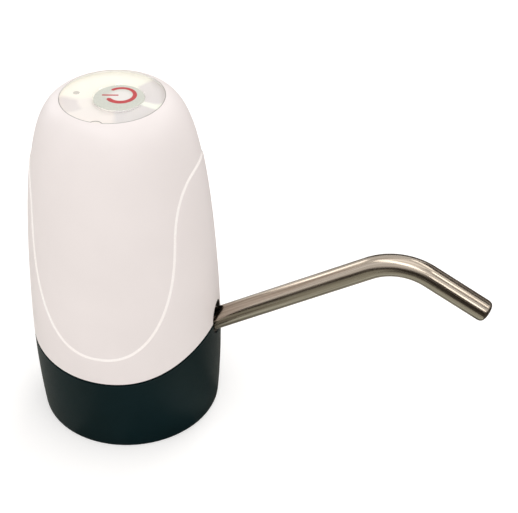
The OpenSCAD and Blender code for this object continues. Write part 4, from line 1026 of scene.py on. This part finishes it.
def makeFloor():
    # Floor and world glow for camera, shiny and clear surfaces alone, so that both read white there
    tree, shader = startFinish("palePaper")
    seen = rayShare(tree, "Is Camera Ray", "Is Glossy Ray", "Is Transmission Ray")
    glow = addNode(tree, "Math", {0: seen, 1: stage["lift"]}, operation="MULTIPLY")
    feed(tree, shader, {"Base Color": toLinear(stage["floor"]), "Roughness": stage["floorRough"],
                        "Specular IOR Level": 0.0, "Emission Color": (1, 1, 1, 1),
                        "Emission Strength": glow.outputs[0]})
    ends = (-stage["floorHalf"], stage["floorHalf"])
    stageCard("floorPale", flatCorners(ends, ends, 0), "palePaper")
    scene.world = bpy.data.worlds.new("studio")
    scene.world.use_nodes = True
    tree = scene.world.node_tree
    seen = rayShare(tree, "Is Camera Ray", "Is Glossy Ray", "Is Transmission Ray")
    level = addNode(tree, "MapRange", {"Value": seen, "To Min": stage["ambient"], "To Max": 1.0})
    feed(tree, tree.nodes["Background"], {"Color": (1, 1, 1, 1), "Strength": level.outputs["Result"]})


def makeCards():
    # Each card has its own plain cloth; on the table's the place across the spout's line picks the colour
    cards = {name: (flatCorners(xs, ys, z), colour) for name, (xs, ys, z, colour) in floorCards.items()}
    for name, (a, b, (low, high), colour) in flags.items():
        cards[name] = ([(*a, low), (*b, low), (*b, high), (*a, high)], colour)
    for name, (corners, colour) in cards.items():
        tree, shader = startFinish(name)
        card = stageCard(name, corners, name)
        card.visible_camera = card.visible_diffuse = card.visible_shadow = card.visible_transmission = False
        if colour:
            feed(tree, shader, {"Base Color": toLinear(colour)})
            continue
        place = addNode(tree, "SeparateXYZ", {"Vector": addNode(tree, "TexCoord").outputs["Object"]})
        share = addNode(tree, "MapRange", {"Value": place.outputs["Y"], "From Min": -stage["tableHalf"] * mm,
                                           "From Max": stage["tableHalf"] * mm})
        fade = addNode(tree, "ValToRGB", {"Fac": share.outputs["Result"]}, stops=stage["table"])
        feed(tree, shader, {"Base Color": fade.outputs["Color"]})


def hangLamp(name, place, turn, power):
    # An area lamp at a place in millimetres, turned as told
    lamp = bpy.data.objects.new(name, bpy.data.lights.new(name, "AREA"))
    lamp.data.energy = power
    lamp.location = place * mm
    lamp.rotation_euler = turn.to_euler()
    scene.collection.objects.link(lamp)
    return lamp


def makeLamps():
    # Square lamps face the body; strips lie from end to end and face the middle of the spout's bend
    for name, (place, size, power, use) in lamps.items():
        facing = (Vector(stage["aim"]) - Vector(place)).to_track_quat("-Z", "Y")
        lamp = hangLamp(name, Vector(place), facing, power)
        lamp.data.size = size * mm
        lamp.visible_glossy = use != "light"
        lamp.visible_diffuse = use != "shine"
    for name, (start, end, wide, power) in strips.items():
        middle, long = (Vector(start) + Vector(end)) / 2, Vector(end) - Vector(start)
        ahead = long.normalized()
        across = (middle - Vector(stage["bendMiddle"])).cross(ahead).normalized()
        strip = hangLamp(name, middle, Matrix((ahead, across, ahead.cross(across))).transposed(), power)
        strip.data.shape = "RECTANGLE"
        strip.data.size, strip.data.size_y = long.length * mm, wide * mm
        strip.visible_diffuse = False


makeFloor()
makeCards()
makeLamps()
print("stage made")
